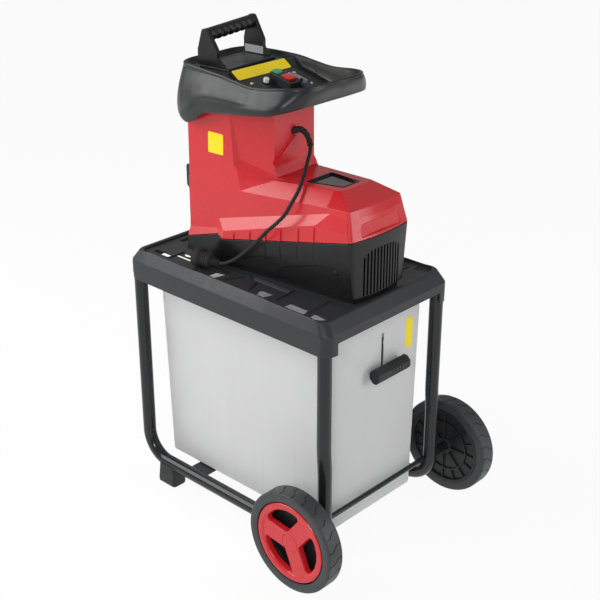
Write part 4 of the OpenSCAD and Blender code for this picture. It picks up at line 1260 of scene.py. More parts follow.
@dataclass
class CollectionBox:
    """Pale bin that slides out to the rear, with a slot for its lock."""

    front: float = -226.0
    back: float = 214.0
    low: float = 50.0
    high: float = 450.0
    foot: float = 120.0
    brim: float = 132.0
    lines: tuple[float, ...] = (32, -54, -140)
    slot: float = LOCK_SLOT

    def build(self) -> None:
        """Draws the tub with its slot, fine lines and side flanges, and its front strip."""
        profile = [
            (9, 50), (3.4, 50.3), (1, 51.6), (0.2, 53.6), (0, 56), (0, 448.8), (0.4, 449.7), (1.2, 450),
            (1.9, 449.9), (2.5, 449), (2.5, 57), (3.2, 54), (9, 52.5),
        ]
        tub = loft("bin_tub", [self.ring(inset, z) for inset, z in profile])
        tub.cut(self.slot_tool())
        for y in self.lines:
            for side in (-1, 1):
                tub.cut(self.line_tool(side, y))
        for side in (-1, 1):
            seat = Seat((0, 0, 0), (side, 0, 0), (0, 0, 1), (0, 1, 0))
            lip = [(131, 447.6), (137.4, 447.6), (137.6, 447.2), (137.6, 436)]
            lip += [(140, 436), (140, 448.6), (138.8, 450), (131, 450)]
            tub.add(slab("flange", seat, lip, -216, 204).bevel(0.4, 2))
        tub.smooth(34).fit(PALE, "box_plastic", "collection_box", body=Body.BOX)
        seat = Facing.FRONT.seat(96, self.front, 390)
        strip = slab("front_strip", seat, plate((-10, -31), (10, 31), 5), -0.3, 0.35).bevel(0.15, 2)
        strip.smooth().fit(YELLOW, "", body=Body.BOX)

    def half(self, z: float) -> float:
        """Half width of the tub at a height."""
        return mix(self.foot, self.brim, (z - self.low) / (self.high - self.low))

    def ring(self, inset: float, z: float) -> Ring:
        """Ring of the tub at an inset from its outline.

        Args:
            inset: Inset from the outside.
            z: Height of the ring.

        Returns:
            The ring's points.
        """
        half = self.half(z) - inset
        lo, hi = (-half, self.front + inset), (half, self.back - inset)
        return GROUND.ring(plate(lo, hi, max(10 - inset, 4), 6), z)

    def line_tool(self, side: int, y: float) -> Piece:
        """Tool for a fine upright line on a side wall that fades out upward.

        Args:
            side: -1 for the left wall, 1 for the right one.
            y: Place of the line along the wall.

        Returns:
            The wedge to cut with.
        """
        rows = []
        for z, deep in ((58, 0.5), (220, 0.5), (300, -0.1)):
            x = self.half(z)
            rows.append((z, ((x + 0.3, -0.9), (x - deep, 0), (x + 0.3, 0.9))))
        return fin("line_tool", side, y, rows)

    def slot_tool(self) -> Piece:
        """Tool for the upright slot with small notches at its sides."""
        edge = [(4, 336.6), (4, 390), (3, 392), (3, 398), (4, 400), (4, 415.6), (-4, 415.6), (-4, 336.6)]
        return slab("slot_tool", Facing.FRONT.seat(self.slot, self.front), edge, -6, 4)


@dataclass
class BoxLock:
    """Lever on the front of the bin that slides up to lock it."""

    left: float = -22.0
    right: float = 69.0
    back: float = -231.0
    front: float = -254.0
    low: float = 331.0
    high: float = 360.0
    edge: float = 8.0
    plain: float = 12.0
    pitch: float = 8.6
    slot: float = LOCK_SLOT

    def build(self) -> None:
        """Draws the lever with its serrations and its shank, and the retainer behind the wall."""
        xs = [(self.left, 2.0), (self.left + 0.6, 0.8), (self.left + 2, 0.0), (self.plain, 0.0)]
        x = self.plain
        while x + self.pitch < self.right - 4:
            xs += [(x + 1.0, 0.0), (x + 2.6, 2.8), (x + 5.4, 2.8), (x + 7.0, 0.0)]
            x += self.pitch
        xs += [(self.right - 2, 0.0), (self.right - 0.6, 0.8), (self.right, 2.0)]
        rings = [self.ring(x, dip) for x, dip in xs]
        lever = loft("lock_grip", rings).smooth(28)
        mid = self.slot
        shank = block("shank", (mid - 2, -236, 337.2), (mid + 2, -222.6, 348.8)).bevel(0.4, 2).smooth()
        lever.add(shank)
        lever.fit(SATIN, "black_plastic", "lock_lever", body=Body.LOCK)
        retainer = block("retainer", (mid - 12, -223, 330), (mid + 12, -220.4, 356)).bevel(0.4, 2)
        tongue = block("tongue", (mid - 14, -222.9, 350), (mid + 10, -220.5, 403.5)).bevel(0.4, 2)
        retainer.add(tongue).smooth()
        retainer.fit(SATIN, "black_plastic", "lock_retainer", body=Body.LOCK)

    def ring(self, x: float, dip: float) -> Ring:
        """Eight-sided ring of the lever, dipped at its top and underside.

        Args:
            x: Place along the lever.
            dip: Depth of a serration there.

        Returns:
            The ring's points.
        """
        edge, low, high = self.edge, self.low + dip, self.high - dip
        back, front = self.back - dip * 0.3, self.front + dip * 0.3
        corners = [(back, low + edge), (back - edge, low), (front + edge, low), (front, low + edge)]
        corners += [(front, high - edge), (front + edge, high), (back - edge, high), (back, high - edge)]
        return [(x, y, z) for y, z in rounded(corners, [1.6] * 8, 3)]


# Housing and cover


@dataclass(frozen=True)
class Level:
    """One ring of a lofted shell: the middle of its bowed front, then its right side."""

    front: Flat
    side: tuple[Point, ...]
    soft: float = 7.0

    def ring(self, inset: float = 0.0, lift: float = 0.0) -> Ring:
        """Closed ring of the level, its front corners rounded.

        Args:
            inset: How far the ring lies inside the level's outline.
            lift: How far it lies above it.

        Returns:
            The ring's points.
        """
        side = [Vector((x - inset, y, z + lift)) for x, y, z in self.side]
        side[0].y += inset
        side[-1].y -= inset
        middle = Vector((0, self.front[0] + inset, self.front[1] + lift))
        corner = side[0]
        start = corner + (middle - corner).normalized() * self.soft
        end = corner + (side[1] - corner).normalized() * self.soft
        half = []
        for t in (0, 0.25, 0.5, 0.75):
            half.append((start.x * t, mix(middle.y, start.y, t * t), mix(middle.z, start.z, t)))
        for t in (0, 0.25, 0.5, 0.75, 1):
            half.append(tuple(start * (1 - t) ** 2 + corner * (2 * t * (1 - t)) + end * t * t))
        return mirrored(half + [tuple(place) for place in side[1:]])

    def along(self, y: float, axis: int) -> float:
        """Coordinate of the right side at a place along the machine, 0 for x and 2 for z."""
        return table([(point[1], point[axis]) for point in self.side], y)


FOOT = Level(
    (-236, 510), ((68.5, -229, 510), (76.5, -150, 510), (98.5, 68, 510), (99, 86, 510), (104, 160, 510))
)
SEAM = Level(
    (-236, 618), ((78, -229, 618), (83.7, -150, 600.7), (99, 68, 552.5), (93, 86, 556.5), (99, 162, 534))
)
SKIRT = Level(
    (-232, 633), ((76, -225, 633), (81.7, -150, 632.7), (97.2, 66, 568.5), (90, 90, 567), (91.4, 163, 552))
)
BAND = Level(
    (-227, 655),
    ((71.5, -220, 655), (72, -176, 658.7), (85.4, 88, 585.5), (86.6, 95, 583), (90.8, 163, 570)), 5,
)
WALL = Level(
    (-220, 669), ((69.5, -216, 669), (72, -168, 667), (84, 30, 652), (87.2, 100, 652), (90.5, 163, 652)), 4
)
TOP = Level(
    (-175, 690), ((42, -172.5, 690), (43.5, -160, 689.2), (60, -24, 680), (58, 60, 680), (56, 140, 680)), 4
)


@dataclass
class LowerHousing:
    """Black motor housing with upright slots in its front."""

    slats: int = 12
    pitch: float = 8.3
    slat: float = 4.4
    slat_low: float = 512.0
    slat_high: float = 84.0
    recess: float = 2.8
    recess_span: Flat = (-206.0, 64.0)
    dome: Flat = (-192.0, 554.0)

    def build(self) -> None:
        """Draws the shell, recesses its sides and cuts the slots."""
        rows = [(FOOT, 6, -11.2), (FOOT, 6, -1.6), (FOOT, 5.4, -0.8), (FOOT, 0.7, 0), (FOOT, 0, 1)]
        rows += [(SEAM, 0, -1.2), (SEAM, 0.6, -0.4), (SEAM, 5, -0.4)]
        rows += [(FOOT, 5, 4), (FOOT, 11, 2), (FOOT, 11, -11.2), (FOOT, 6, -11.2)]
        shell = loft("motor_housing", [level.ring(inset, lift) for level, inset, lift in rows], False)
        shell.bevel(1.2, 2, 30)
        shell.cut(gather([self.slat_tool(2 * i / (self.slats - 1) - 1) for i in range(self.slats)]))
        shell.cut(self.side_tool(1)).cut(self.side_tool(-1))
        y, z = self.dome
        profile = [(0, -2), (5, -2), (5, 0.8), (4.4, 1.8), (2.6, 2.5), (0, 2.8)]
        for side in (-1, 1):
            seat = Seat((side * (self.wall(y, z) - self.recess), y, z), (0, 1, 0), (0, 0, 1), (side, 0, 0))
            shell.add(lathe("dome", seat, profile, 24))
        shell.add(*self.lines())
        shell.smooth(34).fit(DEEP, "satin_black_plastic", "lower_housing")

    def slat_tool(self, share: float) -> Piece:
        """Tool for one upright slot, at a share from -1 on the left to 1 on the right.

        Args:
            share: Place across the front.

        Returns:
            The tool.
        """
        seat = Facing.REAR.seat(share * self.pitch * (self.slats - 1) / 2)
        half, low = self.slat / 2, self.slat_low
        high = low + self.slat_high - 10 * share**4
        corners = [(-half, low), (half, low), (half, high), (-half, high)]
        return slab("slat", seat, rounded(corners, [0.6, 0.6, 1.9, 1.9], 3), -246, -218)

    def wall(self, y: float, z: float) -> float:
        """Half width of the housing's side at a place."""
        low, high = FOOT.front[1], SEAM.along(y, 2)
        return mix(FOOT.along(y, 0), SEAM.along(y, 0), (z - low) / (high - low))

    def side_tool(self, side: int) -> Piece:
        """Tool for the long shallow recess low on one side, stepped along its top.

        Args:
            side: -1 for the left side, 1 for the right one.

        Returns:
            The tool.
        """
        top = [(64, 521), (28, 527), (-11, 540), (-64, 550), (-70, 533)]
        top += [(-118, 549), (-152, 558), (-192, 562), (-206, 548)]
        rings = []
        for out, grow in ((6.0, 4.0), (0.0, 0.0), (-self.recess, -2.0)):
            front, back = self.recess_span[0] - grow, self.recess_span[1] + grow
            low = [(y, 506 - grow) for y in (front, -150, -60, back)]
            high = [(min(max(y, front), back), z + grow) for y, z in top]
            rings.append([(side * (self.wall(y, z) + out), y, z) for y, z in low + high])
        return loft("side_tool", rings)

    def lines(self) -> list[Piece]:
        """Thin upright ribs on both sides, under the ribs of the cover.

        Returns:
            The ribs.
        """
        made = []
        for side in (-1, 1):
            for y in (-36, -71, -110, -146):
                top = SEAM.along(y, 2) - 2
                rows = []
                for z, out in ((top - 32, 0.1), (top - 28, 0.9), (top, 0.9)):
                    x = self.wall(y, z)
                    rows.append((z, ((x - 1, -1.6), (x + out, 0), (x - 1, 1.6))))
                made.append(fin("line", side, y, rows))
        return made


@dataclass
class UpperCover:
    """Glossy red cover with a faceted nose and the tower behind it."""

    ribs: tuple[float, ...] = (40, 1, -37, -72, -112, -147)
    tower_top: float = 813.0
    fold_x: tuple[Flat, ...] = ((652, 83.8), (704, 82.2), (777, 81), (813, 80.5))
    fold_y: tuple[Flat, ...] = ((652, 30), (704, 46), (777, 60), (813, 64))
    sink: float = 3.0

    def build(self) -> None:
        """Lofts nose and tower, joins them and cuts their recesses."""
        rings = [SEAM.ring(12, 6), SEAM.ring(3, 0.8), SEAM.ring(0.5, 0.6), SEAM.ring(0, 1.4)]
        rings += [SKIRT.ring(), BAND.ring(), WALL.ring(), TOP.ring()]
        nose = loft("red_cover", rings).bevel(1.7, 3, 4)
        nose.fuse(self.tower())
        hollows = [
            block("chute_tool", (-64, 82, 560), (64, 154, 830)),
            block("motor_tool", (-58, -168, 530), (58, 100, 634)),
        ]
        for tool in (*self.tower_recesses(), *hollows, self.end_groove(), self.window_tool()):
            nose.cut(tool)
        nose.fuse(self.skirt_ribs())
        nose.smooth(24).fit(RED, "red_plastic", "upper_cover")
        self.window()
        self.side_label()

    def tower(self) -> Piece:
        """Lofts the tower with its flared foot.

        Returns:
            The tower.
        """
        rings = []
        flares = [(640, 8), (652, 8), (668, 8), (676, 7.5), (690, 3), (698, 0.8), (704, 0), (760, 0)]
        for z, flare in flares + [(self.tower_top, 0)]:
            draft = 3 * (z - 652) / 161
            fold = (table(self.fold_x, z), table(self.fold_y, z))
            corners = [(0, -24 - flare), (56 - draft + flare * 0.6, -24 - flare)]
            corners += [fold, (90.2 - draft * 0.4, 162.8)]
            outline = corners + [(-x, y) for x, y in reversed(corners[1:])]
            soft = [0, 5, 10, 2.5, 2.5, 10, 5]
            rings.append(GROUND.ring(rounded(outline, soft, 5), z))
        return loft("tower", rings)

    def facet(self, side: int) -> Seat:
        """Seat on the slanting face between the tower's front edge and its crease.

        Args:
            side: -1 for the left side, 1 for the right one.

        Returns:
            The seat.
        """
        run, rise = 74.0, 24.5
        length = math.hypot(run, rise)
        u = (side * rise / length, run / length, 0.0)
        return Seat((side * 55.3, -24, 0), u, (0, 0, 1), (side * run / length, -rise / length, 0))

    def tower_recesses(self) -> list[Piece]:
        """Tools for the sunk panel round the tower's front edges.

        Returns:
            The tools.
        """
        tools = []
        for side in (-1, 1):
            seat = self.facet(side)
            front, back = (672, 701) if side < 0 else (691, 704)
            rings = []
            for out, grow in ((6.0, 8.0), (0.0, 0.0), (-self.sink, -6.0)):
                edge = [(-30, front - grow), (74 + grow, back - grow)]
                edge += [(88 + grow, 780), (90 + grow, 830), (-30, 830)]
                rings.append(seat.ring(edge, out))
            tools.append(loft("facet_tool", rings))
        seat = Facing.FRONT.seat(0, -24)
        strip = ((7.6, 0.8), (0.8, -2.8), (-2.0, -2.8), (-3.2, 0.8))
        rings = []
        for x, z in ((-62, 701.5), (2, 751)):
            rings.append([seat.put(x - 0.618 * side, z + 0.786 * side, out) for side, out in strip])
        tools.append(loft("front_tool", rings))
        return tools

    def end_groove(self) -> Piece:
        """Tool for the shallow panel low on the nose's end face, bowed like the face.

        Returns:
            The tool.
        """
        length = math.hypot(9, 37)
        seat = Seat((0, -236, 618), (1, 0, 0), (0, 9 / length, 37 / length), (0, -37 / length, 9 / length))
        rings = []
        for out, grow in ((6.0, 1.2), (0.2, 0.4), (-1.4, -1.0)):
            half, low, high = 52 + grow, 5.5 - grow, 29.5 + grow
            across = (-half, -26, 0, 26, half)
            corners = [(x, low) for x in across] + [(x, high) for x in reversed(across)]
            outline = rounded(corners, [4, 0, 0, 0, 4, 11, 0, 0, 0, 11], 5)
            rings.append([seat.put(x, s, out - 7 * (x / 71) ** 2) for x, s in outline])
        return loft("end_tool", rings)

    def window_ring(self, grow: float, lift: float) -> Ring:
        """Ring of the tapering window on the nose's top, grown and lifted off the top.

        Args:
            grow: Margin all round.
            lift: Height above the top.

        Returns:
            The ring's points.
        """
        corners = [(22 + grow, -161 - grow), (34.5 + grow, -84 + grow)]
        corners += [(-x, y) for x, y in reversed(corners)]
        outline = rounded(corners, [3 + grow] * 4, 4)
        return [(x, y, 687.3 - (y + 122) * 0.06 + lift) for x, y in outline]

    def window_tool(self) -> Piece:
        """Tool for the sunk window on top of the nose."""
        rows = ((1.0, 6.0), (0.6, -0.4), (0.2, -5.2))
        return loft("window_tool", [self.window_ring(grow, lift) for grow, lift in rows])

    def skirt_ribs(self) -> Piece:
        """Short upright ribs on both sides of the skirt.

        Returns:
            All ribs as one piece.
        """
        made = []
        for side in (-1, 1):
            for y in self.ribs:
                share = (y + 150) / 216
                low, high = mix(600.7, 553.5, share) + 1.2, mix(632.7, 568.5, share) + 3
                x0, x1 = mix(83.7, 99.2, share), mix(81.7, 97.2, share)
                rows = []
                for z, x, out in ((low, x0, 2.0), (high - 10, x1, 2.6), (high, x1 - 2.4, 0.8)):
                    rows.append((z, ((x - 3, -3), (x + out, -1.9), (x + out, 1.9), (x - 3, 3))))
                made.append(fin("rib", side, y, rows))
        return gather(made)

    def window(self) -> None:
        """Lays the dark glossy window into its recess."""
        rows = [(0, -5), (0, 0.3), (-0.4, 0.7), (-1.4, 0.7)]
        rows += [(-1.8, 0.3), (-2.2, -2.8), (-2.8, -3.2), (-9, -3.2)]
        rings = [self.window_ring(grow, lift) for grow, lift in rows]
        loft("nose_window", rings).smooth().fit(GLOSS, "black_plastic")

    def side_label(self) -> None:
        """Lays the bare square label on the tower's left side."""
        seat = Seat((-84.9, 92, 729), (-0.069, 0.9976, 0), (0.023, 0, 0.9997), (-0.9973, -0.069, 0.023))
        label = slab("side_plate", seat, plate((-18.5, -19.5), (18.5, 19.5), 3), -3, 0.8).bevel(0.2, 2)
        label.smooth().fit(YELLOW, "")


@dataclass
class RearCover:
    """Black cover on the housing's back with the lobed locking knob."""

    half: float = 80.0
    lobes: int = 6
    knob: float = 23.0

    def build(self) -> None:
        """Raises the cover and the knob."""
        side = [(160.2, 537.5), (174, 537.5), (176, 540), (176, 622)]
        side += [(182, 628), (182, 666), (179.5, 668.8), (160.2, 668.8)]
        cover = slab("rear_hood", Facing.RIGHT.seat(), side, -self.half, self.half).bevel(2.2, 3)
        for x in (-50, -25, 25, 50):
            cover.fuse(block("rib", (x - 1.5, 170, 556), (x + 1.5, 177.6, 620)).bevel(0.6, 2))
        cover.smooth().fit(SATIN, "satin_black_plastic", "rear_cover")
        knob = Facing.REAR.seat(0, 176.5, 573)
        rows = [(0.1, 1.2), (1.2, 0), (14.5, 0.6), (17, 1.8)]
        rows += [(17.9, 4), (17.9, 9), (16.6, 10), (16.6, 21.5)]
        handle = loft("rear_knob", [knob.ring(self.lobed(inset), height) for height, inset in rows])
        handle.smooth(40).fit(SATIN, "satin_black_plastic", "lock_knob", body=Body.KNOB)

    def lobed(self, inset: float) -> list[Flat]:
        """Outline of the knob with a hollow between each two lobes.

        Args:
            inset: Inset from the widest outline.

        Returns:
            The outline.
        """
        outline = []
        for k in range(96):
            a = 2 * math.pi * k / 96
            hollow = 2.6 * max(0.0, math.cos(self.lobes * a)) ** 1.5
            radius = max(self.knob - hollow * max(0.0, 1 - inset / 10) - inset, 0.4)
            outline.append((radius * math.cos(a), radius * math.sin(a)))
        return outline


# Hopper and controls


@dataclass
class Hopper:
    """Feed hopper: flared skirt, thick lip and a dished tray."""

    rim: float = 866.0
    rim_half: tuple[Flat, ...] = (
        (0, -126), (48, -126), (70, -120), (84, -109), (92, -94), (97, -75), (101, -50), (103, -20),
        (103, 20), (102, 55), (100, 90), (96, 120), (92, 145), (88, 163), (80, 176), (66, 183), (0, 184),
    )
    skirt_half: tuple[Flat, ...] = (
        (0, -113), (56, -113), (80, -111), (98, -104), (110, -93), (116, -77), (118.5, -56), (119, -20),
        (116, 20), (113, 60), (110, 95), (107, 127), (104, 150), (99, 172), (92, 184), (76, 190), (0, 191),
    )
    rim_rise: tuple[Flat, ...] = ((-126, 2), (-80, -3), (-30, -10), (5, -8), (50, -2), (110, 0), (184, 0))
    skirt_drop: tuple[Flat, ...] = (
        (-112, -37), (-72, -49), (0, -60), (60, -70), (95, -77), (127, -97), (148, -106), (167, -103),
        (181, -93), (191, -81),
    )
    floor: tuple[Flat, ...] = (
        (-146, 866), (-114, 858), (-92, 840), (-46, 825.2), (44, 845), (66, 860), (80, 858), (204, 858),
    )
    mouth: tuple[float, Flat] = (61.8, (84.2, 151.8))
    brow: tuple[Flat, ...] = ((-50, 0), (0, 0.12), (50, 0.6), (90, 1), (130, 1), (165, 0.3), (180, 0))
    fold: tuple[Flat, ...] = ((-50, 0.44), (60, 0.4), (120, 0.36), (150, 0.26), (175, 0.14))
    crease: float = 6.0
    lip_rise: float = 2.8
    valley: float = 7.0
    steps: int = 6

    def build(self) -> None:
        """Draws the tray from under its mouth round the skirt and the lip and back into the mouth."""
        tray = loft("hopper_tray", self.rings(), False)
        tray.smooth(50).fit(MOULDED, "grey_black_plastic", "hopper")

    def rings(self) -> list[Ring]:
        """All rings, from under the mouth round the skirt's edge to the tray and the mouth.

        Returns:
            The rings, in order.
        """
        skirt = self.place(self.skirt_half, self.skirt_drop)
        lip = self.place(self.rim_half, self.rim_rise)
        under = ((0.985, -11), (0.7, -5), (0.4, -5), (0.2, -5))
        made = [self.dish(lip, share, lift) for share, lift in under]
        for inset, lift in ((5.0, 18.0), (4.2, 4.0), (3.2, 0.8), (1.8, 0.0), (0.7, 0.7), (0.0, 2.4)):
            made.append(self.inset(skirt, inset, lift))
        made += [self.flank(skirt, lip, t / 100) for t in range(6, 99, 3)]
        for inset, lift in ((0.0, 0.0), (0.6, 1.6), (1.8, 2.6), (3.2, 2.8), (4.6, 2.3), (5.6, 1.0)):
            made.append(self.inset(lip, inset - 1.0, lift - self.lip_rise))
        made += [self.dish(lip, (k / 26) ** 1.6, 0) for k in range(3, 27)]
        made += [self.dish(lip, 1.0, -2), self.dish(lip, 1.0, -11), made[0]]
        return made

    def place(self, half: Sequence[Flat], rise: Sequence[Flat]) -> Ring:
        """Smooth ring through a half outline whose height follows a table."""
        corners = mirrored([(x, y, self.rim + table(rise, y)) for x, y in half])
        return spline(corners, self.steps, True)

    def inset(self, ring: Ring, depth: float, lift: float) -> Ring:
        """Ring drawn in towards its middle by a depth and raised.

        Args:
            ring: Ring to start from.
            depth: How far it moves in.
            lift: How far it rises.

        Returns:
            The new ring.
        """
        made = []
        count = len(ring)
        for i, (x, y, z) in enumerate(ring):
            ahead, back = ring[(i + 1) % count], ring[i - 1]
            along = Vector((ahead[0] - back[0], ahead[1] - back[1])).normalized()
            made.append((x - along.y * depth, y + along.x * depth, z + lift))
        return made

    def flank(self, skirt: Ring, lip: Ring, t: float) -> Ring:
        """Ring part of the way up the outside: one full curve, its crease fading to the front.

        Args:
            skirt: Ring at the lower edge.
            lip: Ring at the lip.
            t: Share of the way up.

        Returns:
            The ring's points.
        """
        made = []
        for low, under, high, over in zip(skirt, self.inset(skirt, -4, 0), lip, self.inset(lip, -6.5, 0)):
            fold = table(self.fold, low[1])
            step = self.crease * (ease(fold - 0.1, fold, t) - ease(fold, 0.95, t))
            rise = high[2] - low[2]
            a, d = Vector(low), Vector((high[0], high[1], high[2] - self.lip_rise))
            b = Vector((under[0], under[1], low[2] + 0.36 * rise))
            c = Vector((over[0], over[1], high[2] - 0.32 * rise))
            place = a * (1 - t) ** 3 + b * (3 * t * (1 - t) ** 2) + c * (3 * t * t * (1 - t)) + d * t**3
            out = Vector((under[0] - low[0], under[1] - low[1], 0)).normalized()
            made.append(tuple(place + out * (step * table(self.brow, low[1]))))
        return made

    def dish(self, lip: Ring, share: float, lift: float) -> Ring:
        """Ring of the tray a share of the way from the lip to the mouth.

        Args:
            lip: Ring along the top of the lip.
            share: 0 at the lip and 1 at the mouth's edge.
            lift: Height above the tray's floor.

        Returns:
            The ring, on the tray's wall or floor.
        """
        made = []
        wide, (front, back) = self.mouth
        middle, deep = (front + back) / 2, (back - front) / 2
        for x, y, z in lip:
            dy = y - middle
            edge = min(wide / max(abs(x), 1e-6), deep / max(abs(dy), 1e-6))
            px, py = mix(x, x * edge, share), mix(y, middle + dy * edge, share)
            far = math.hypot(px - x, py - y)
            wall, ground = z - 1.5 - max(far - 5, 0) * 2.6, table(self.floor, py)
            top = max(wall, ground) + max(0.0, self.valley - abs(wall - ground)) ** 2 / (4 * self.valley)
            made.append((px, py, min(top, z - 0.4) + lift))
        return made


@dataclass
class Controls:
    """Sloping panel in the hopper with keys under a flap, a reset cap and a bare strip."""

    tilt: float = 12.4
    hinge: Flat = (44.0, 848.0)
    box: Flat = (-2.0, -2.0)
    box_top: float = 16.0
    pin: float = 16.5
    flap_lean: float = 16.0
    reset: Flat = (-27.0, 19.0)
    screws: tuple[Flat, ...] = ((-50, -21), (50, -21), (-54, 27), (54, 27))

    def build(self) -> None:
        """Makes the panel and everything on it."""
        self.panel()
        self.switch()
        self.flap()
        profile = [(0, -0.5), (5.3, -0.5), (5.3, 7.4), (5.0, 8.4), (4.2, 8.9), (3.4, 8.6), (0, 8.5)]
        reset = lathe("reset_cap", self.seat(*self.reset), profile, 36).smooth(40)
        reset.fit(CLEAR, "clear_grey", "reset_button", body=Body.RESET)
        profile = [(0, -1), (3.5, -1), (3.5, 0.7), (2.9, 1.5), (1.6, 1.8), (1.4, 0.9), (0, 0.8)]
        screws = [lathe("screw", self.seat(*place), profile, 24).smooth(40) for place in self.screws]
        gather(screws, "cross_screws").fit(STEEL, "steel", "panel_screws")

    def seat(self, x: float, y: float, lift: float = 0.0) -> Seat:
        """Seat on the sloping panel, its third direction standing off it."""
        slope = Seat((0, *self.hinge)).tipped(self.tilt)
        return Seat(slope.put(x, y - self.hinge[0], lift), slope.u, slope.v, slope.w)

    def panel(self) -> None:
        """Raises the sloping panel and lays the bare strip on its rise."""
        side = [(-46, 825.4), (44, 845), (66, 860), (66, 863), (44, 848), (-46, 828.2)]
        panel = slab("key_panel", Facing.RIGHT.seat(), side, -74, 74).bevel(0.8, 2, 15)
        seat = self.seat(*self.reset)
        hole = lathe("hole", seat, [(5.9, -8), (5.9, 8)], 36)
        ring = hoop("ring", seat, [(5.9, -1), (7.6, -1), (7.4, 1.3), (6.9, 1.7), (5.9, 1.7)], 36)
        panel.cut(hole).add(ring)
        panel.smooth().fit(DEEP, "black_plastic", "control_panel")
        rise = Seat((0, 55, 855.5)).tipped(math.degrees(math.atan2(15, 22)))
        strip = slab("panel_strip", rise, plate((-68, -11.4), (66, 12.2), 3), -0.4, 0.5).bevel(0.2, 2)
        strip.smooth().fit(YELLOW, "")

    def switch(self) -> None:
        """Raises the switch box and its two keys."""
        x, y = self.box
        seat = self.seat(x, y)
        body = slab("key_box", seat, plate((-14, -28), (14, 28), 3), -1, self.box_top).bevel(1.2, 3)
        for middle, half in ((21, 8.2), (-9, 9.7)):
            body.cut(slab("well", seat, plate((-half, middle - half), (half, middle + half), 1.5), 6, 20))
        pin = self.seat(x + self.pin, y, self.box_top).upended()
        for start in (-12.4, 22.4):
            end = start + 3
            body.add(
                hoop("lug", pin, [(1.5, start), (3, start), (3, end), (1.5, end)], 24),
                slab("post", seat, plate((10.6, -end), (16, -start), 0.4), 10, 15.6),
            )
        body.smooth().fit(SATIN, "black_plastic", "switch_box")
        plain = ((9, 0), (17.6, 0), (18.4, 0.7), (18.7, 1.8), (18.5, 6))
        domed = ((9, 0.4), (18.7, 0.4), (18.8, -1.2), (19.4, -1.7), (20.2, -1.2))
        domed += ((21, 1), (21.5, 4), (21.6, 7))
        for name, middle, half, rows, finish, key, slot in (
            ("start", 21, 7.5, plain, GREEN, Body.START, "green_button"),
            ("stop", -9, 9.0, domed, STOP_RED, Body.STOP, "red_button"),
        ):
            rings = []
            for height, inset in rows:
                lo, hi = (inset - half, middle - half + inset), (half - inset, middle + half - inset)
                rings.append(seat.ring(plate(lo, hi, max(2.2 - inset * 0.2, 0.5), 4), height))
            loft(name + "_key", rings).smooth(40).fit(finish, slot, name + "_button", body=key)

    def flap(self) -> None:
        """Raises the smoky flap hinged beside the keys."""
        x, y = self.box
        base = self.seat(x + self.pin, y, self.box_top)
        lean = Seat(base.origin, base.u, base.w).turned(-self.flap_lean)
        seat = Seat(base.origin, lean.u, base.v, lean.v)
        shell = slab("key_flap", seat, plate((1.8, -22), (23, 12), 2.5), -6, 0).bevel(0.8, 2)
        shell.cut(slab("hollow", seat, plate((3.2, -20.6), (21.6, 10.6), 1.5), -4.6, 2))
        for step in range(4):
            px = 6.0 + step * 4.2
            shell.fuse(slab("step", seat, plate((px, -20.8), (px + 1.6, 10.8), 0.3, 2), -5.2, -1.2))
        profile = [(0, -14.6), (1.2, -14.6), (1.4, -14.2), (1.4, 24.2), (1.2, 24.6), (0, 24.6)]
        shell.add(lathe("pin", seat.upended(), profile, 20))
        shell.smooth().fit(SMOKE, "smoke_plastic", "switch_flap", body=Body.FLAP)


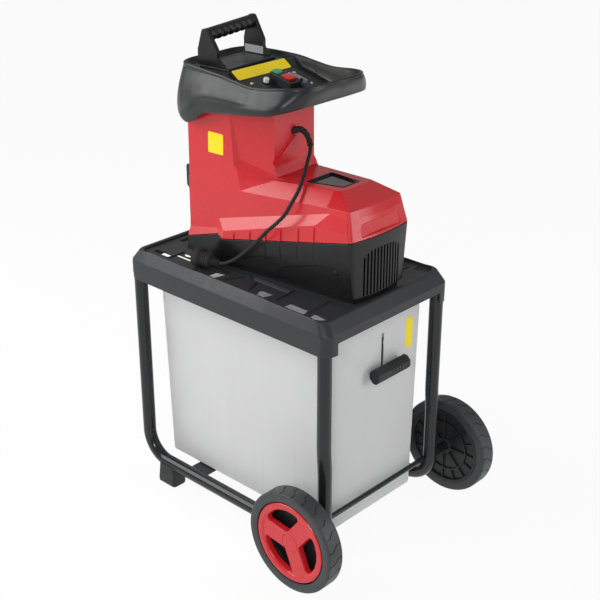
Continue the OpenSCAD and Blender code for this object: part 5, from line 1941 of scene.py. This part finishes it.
@dataclass
class Pusher:
    """Feed pusher: hollow shaft, plate and a carrying handle with a ribbed grip."""

    place: Point = (0.0, 118.0, 858.0)
    yaw: float = 5.0
    grip_lean: float = 2.53
    rings: int = 120

    def build(self) -> None:
        """Makes shaft and plate, the side plates and the grip."""
        seat = self.seat()
        shaft = slab("feed_plunger", seat, plate((-56, -28), (56, 28), 4), -97.5, 1).bevel(0.8, 2)
        shaft.cut(slab("hollow", seat, plate((-53, -25), (53, 25), 3), -110, -1))
        rings = []
        for z, inset in ((0.5, 0), (2.4, 0), (3.6, 0.5), (4.3, 1.6), (4.5, 3), (4.3, 8), (3.9, 9), (3.9, 14)):
            x, y = 68 - inset, 36 - inset
            rings.append(seat.ring(plate((-x, -y), (x, y), max(7 - inset * 0.4, 1.5), 6), z))
        shaft.fuse(loft("plate", rings))
        shaft.smooth().fit(DEEP, "satin_black_plastic", "pusher", body=Body.PUSHER)
        self.handle(seat)
        self.grip(seat)

    def seat(self) -> Seat:
        """Seat in the mouth's middle, turned a little."""
        return Seat(self.place).turned(self.yaw)

    def handle(self, seat: Seat) -> None:
        """Raises the two side plates and lays the bare plate inside the right one.

        Args:
            seat: Seat of the pusher.
        """
        plates = []
        for side in (-1, 1):
            lift = 3 * side
            corners = [
                (-24, 0), (-22.5, 3.5), (-10, 12), (-10, 28), (9, 61 + lift), (13, 68 + lift),
                (23, 68 + lift), (26, 63 + lift), (36, 27), (36, 0),
            ]
            outline = rounded(corners, [0.4, 1.2, 9, 16, 5, 4.5, 4.5, 5, 14, 0.4], 5)
            flat = Seat(seat.put(side * 63.5, 0, 4.5), seat.v, seat.w, seat.u)
            plates.append(slab("side", flat, outline, -4.5, 4.5).bevel(1.5, 3, 40))
        both = gather(plates, "handle_plates").smooth()
        both.fit(DEEP, "satin_black_plastic", "pusher_handle", body=Body.PUSHER)
        flat = Seat(seat.put(58.9, 11, 12.5), seat.v, seat.w, tuple(-Vector(seat.u)))
        tag = slab("handle_tag", flat, plate((-22, -7), (22, 7), 1), -0.2, 0.35).bevel(0.12, 2)
        tag.smooth().fit(GREY, "", body=Body.PUSHER)

    def grip(self, seat: Seat) -> None:
        """Draws the grip: smooth on top, with finger bulges below and in front.

        Args:
            seat: Seat of the pusher.
        """
        lean = Seat(seat.put(0, 18, 60.2), seat.u, seat.w).turned(self.grip_lean)
        bar = Seat(lean.origin, seat.v, lean.v, lean.u)
        turns = [2 * math.pi * k / 40 for k in range(40)]
        rings = []
        for i in range(self.rings + 1):
            x = mix(-59.5, 59.5, i / self.rings)
            swell = abs(math.cos(math.pi * (x + 49.5) / 16.5)) ** 0.7 if abs(x) < 57.5 else 1.0
            ring = []
            for a in turns:
                under = max(0.0, min(1.0, 0.35 - 1.1 * math.sin(a) - 1.0 * math.cos(a)))
                shrink = 2.4 * (1 - swell) * under
                ring.append(((10.4 - shrink) * math.cos(a), (12.2 - shrink) * math.sin(a)))
            rings.append(bar.ring(ring, x))
        grip = loft("finger_grip", rings).smooth(40)
        grip.fit(DEEP, "satin_black_plastic", "pusher_grip", body=Body.PUSHER)


@dataclass
class InnerParts:
    """Solids that stay as they are inside the machine, each with its finish."""

    finishes: tuple[tuple[Finish, tuple[str, ...]], ...] = (
        (STEEL, ("axle_nuts", "leg_screws", "motor_shaft", "blade_disc", "blades", "blade_screws",
                 "counter_blade", "front_bearing", "rear_bearing")),
        (SATIN, ("axle_spacers", "interlock_switch", "cooling_fan", "feed_chute")),
        (WINDING, ("rotor_core",)),
        (LAMINATED, ("stator",)),
        (CAST, ("stator_cradle", "front_bracket", "rear_bracket")),
    )

    def build(self) -> None:
        """Gives each solid its finish."""
        for finish, names in self.finishes:
            for name in names:
                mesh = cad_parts[name].data
                mesh.materials.clear()
                mesh.materials.append(finish.material())
                LOG.info("%s: %s", name, finish.name)


# Main


def measure(stage: str, sizes: dict[str, list[list[float]]]) -> None:
    """Notes the corners of everything shown, under a name."""
    lo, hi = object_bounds()
    sizes[stage] = [[round(float(v), 6) for v in lo], [round(float(v), 6) for v in hi]]


def main() -> None:
    """Builds the stage, then every sub-assembly from the ground up, and notes the sizes."""
    logging.basicConfig(level=logging.INFO, format="%(message)s")
    sizes: dict[str, list[list[float]]] = {}
    measure("cad", sizes)
    for part in (
        Studio(), MainsLead(), TubeFrame(), Wheel(), Platform(), CollectionBox(), BoxLock(), LowerHousing(),
        UpperCover(), RearCover(), Hopper(), Controls(), Pusher(), InnerParts(),
    ):
        part.build()
    measure("visual", sizes)


if __name__ == "__main__":
    main()
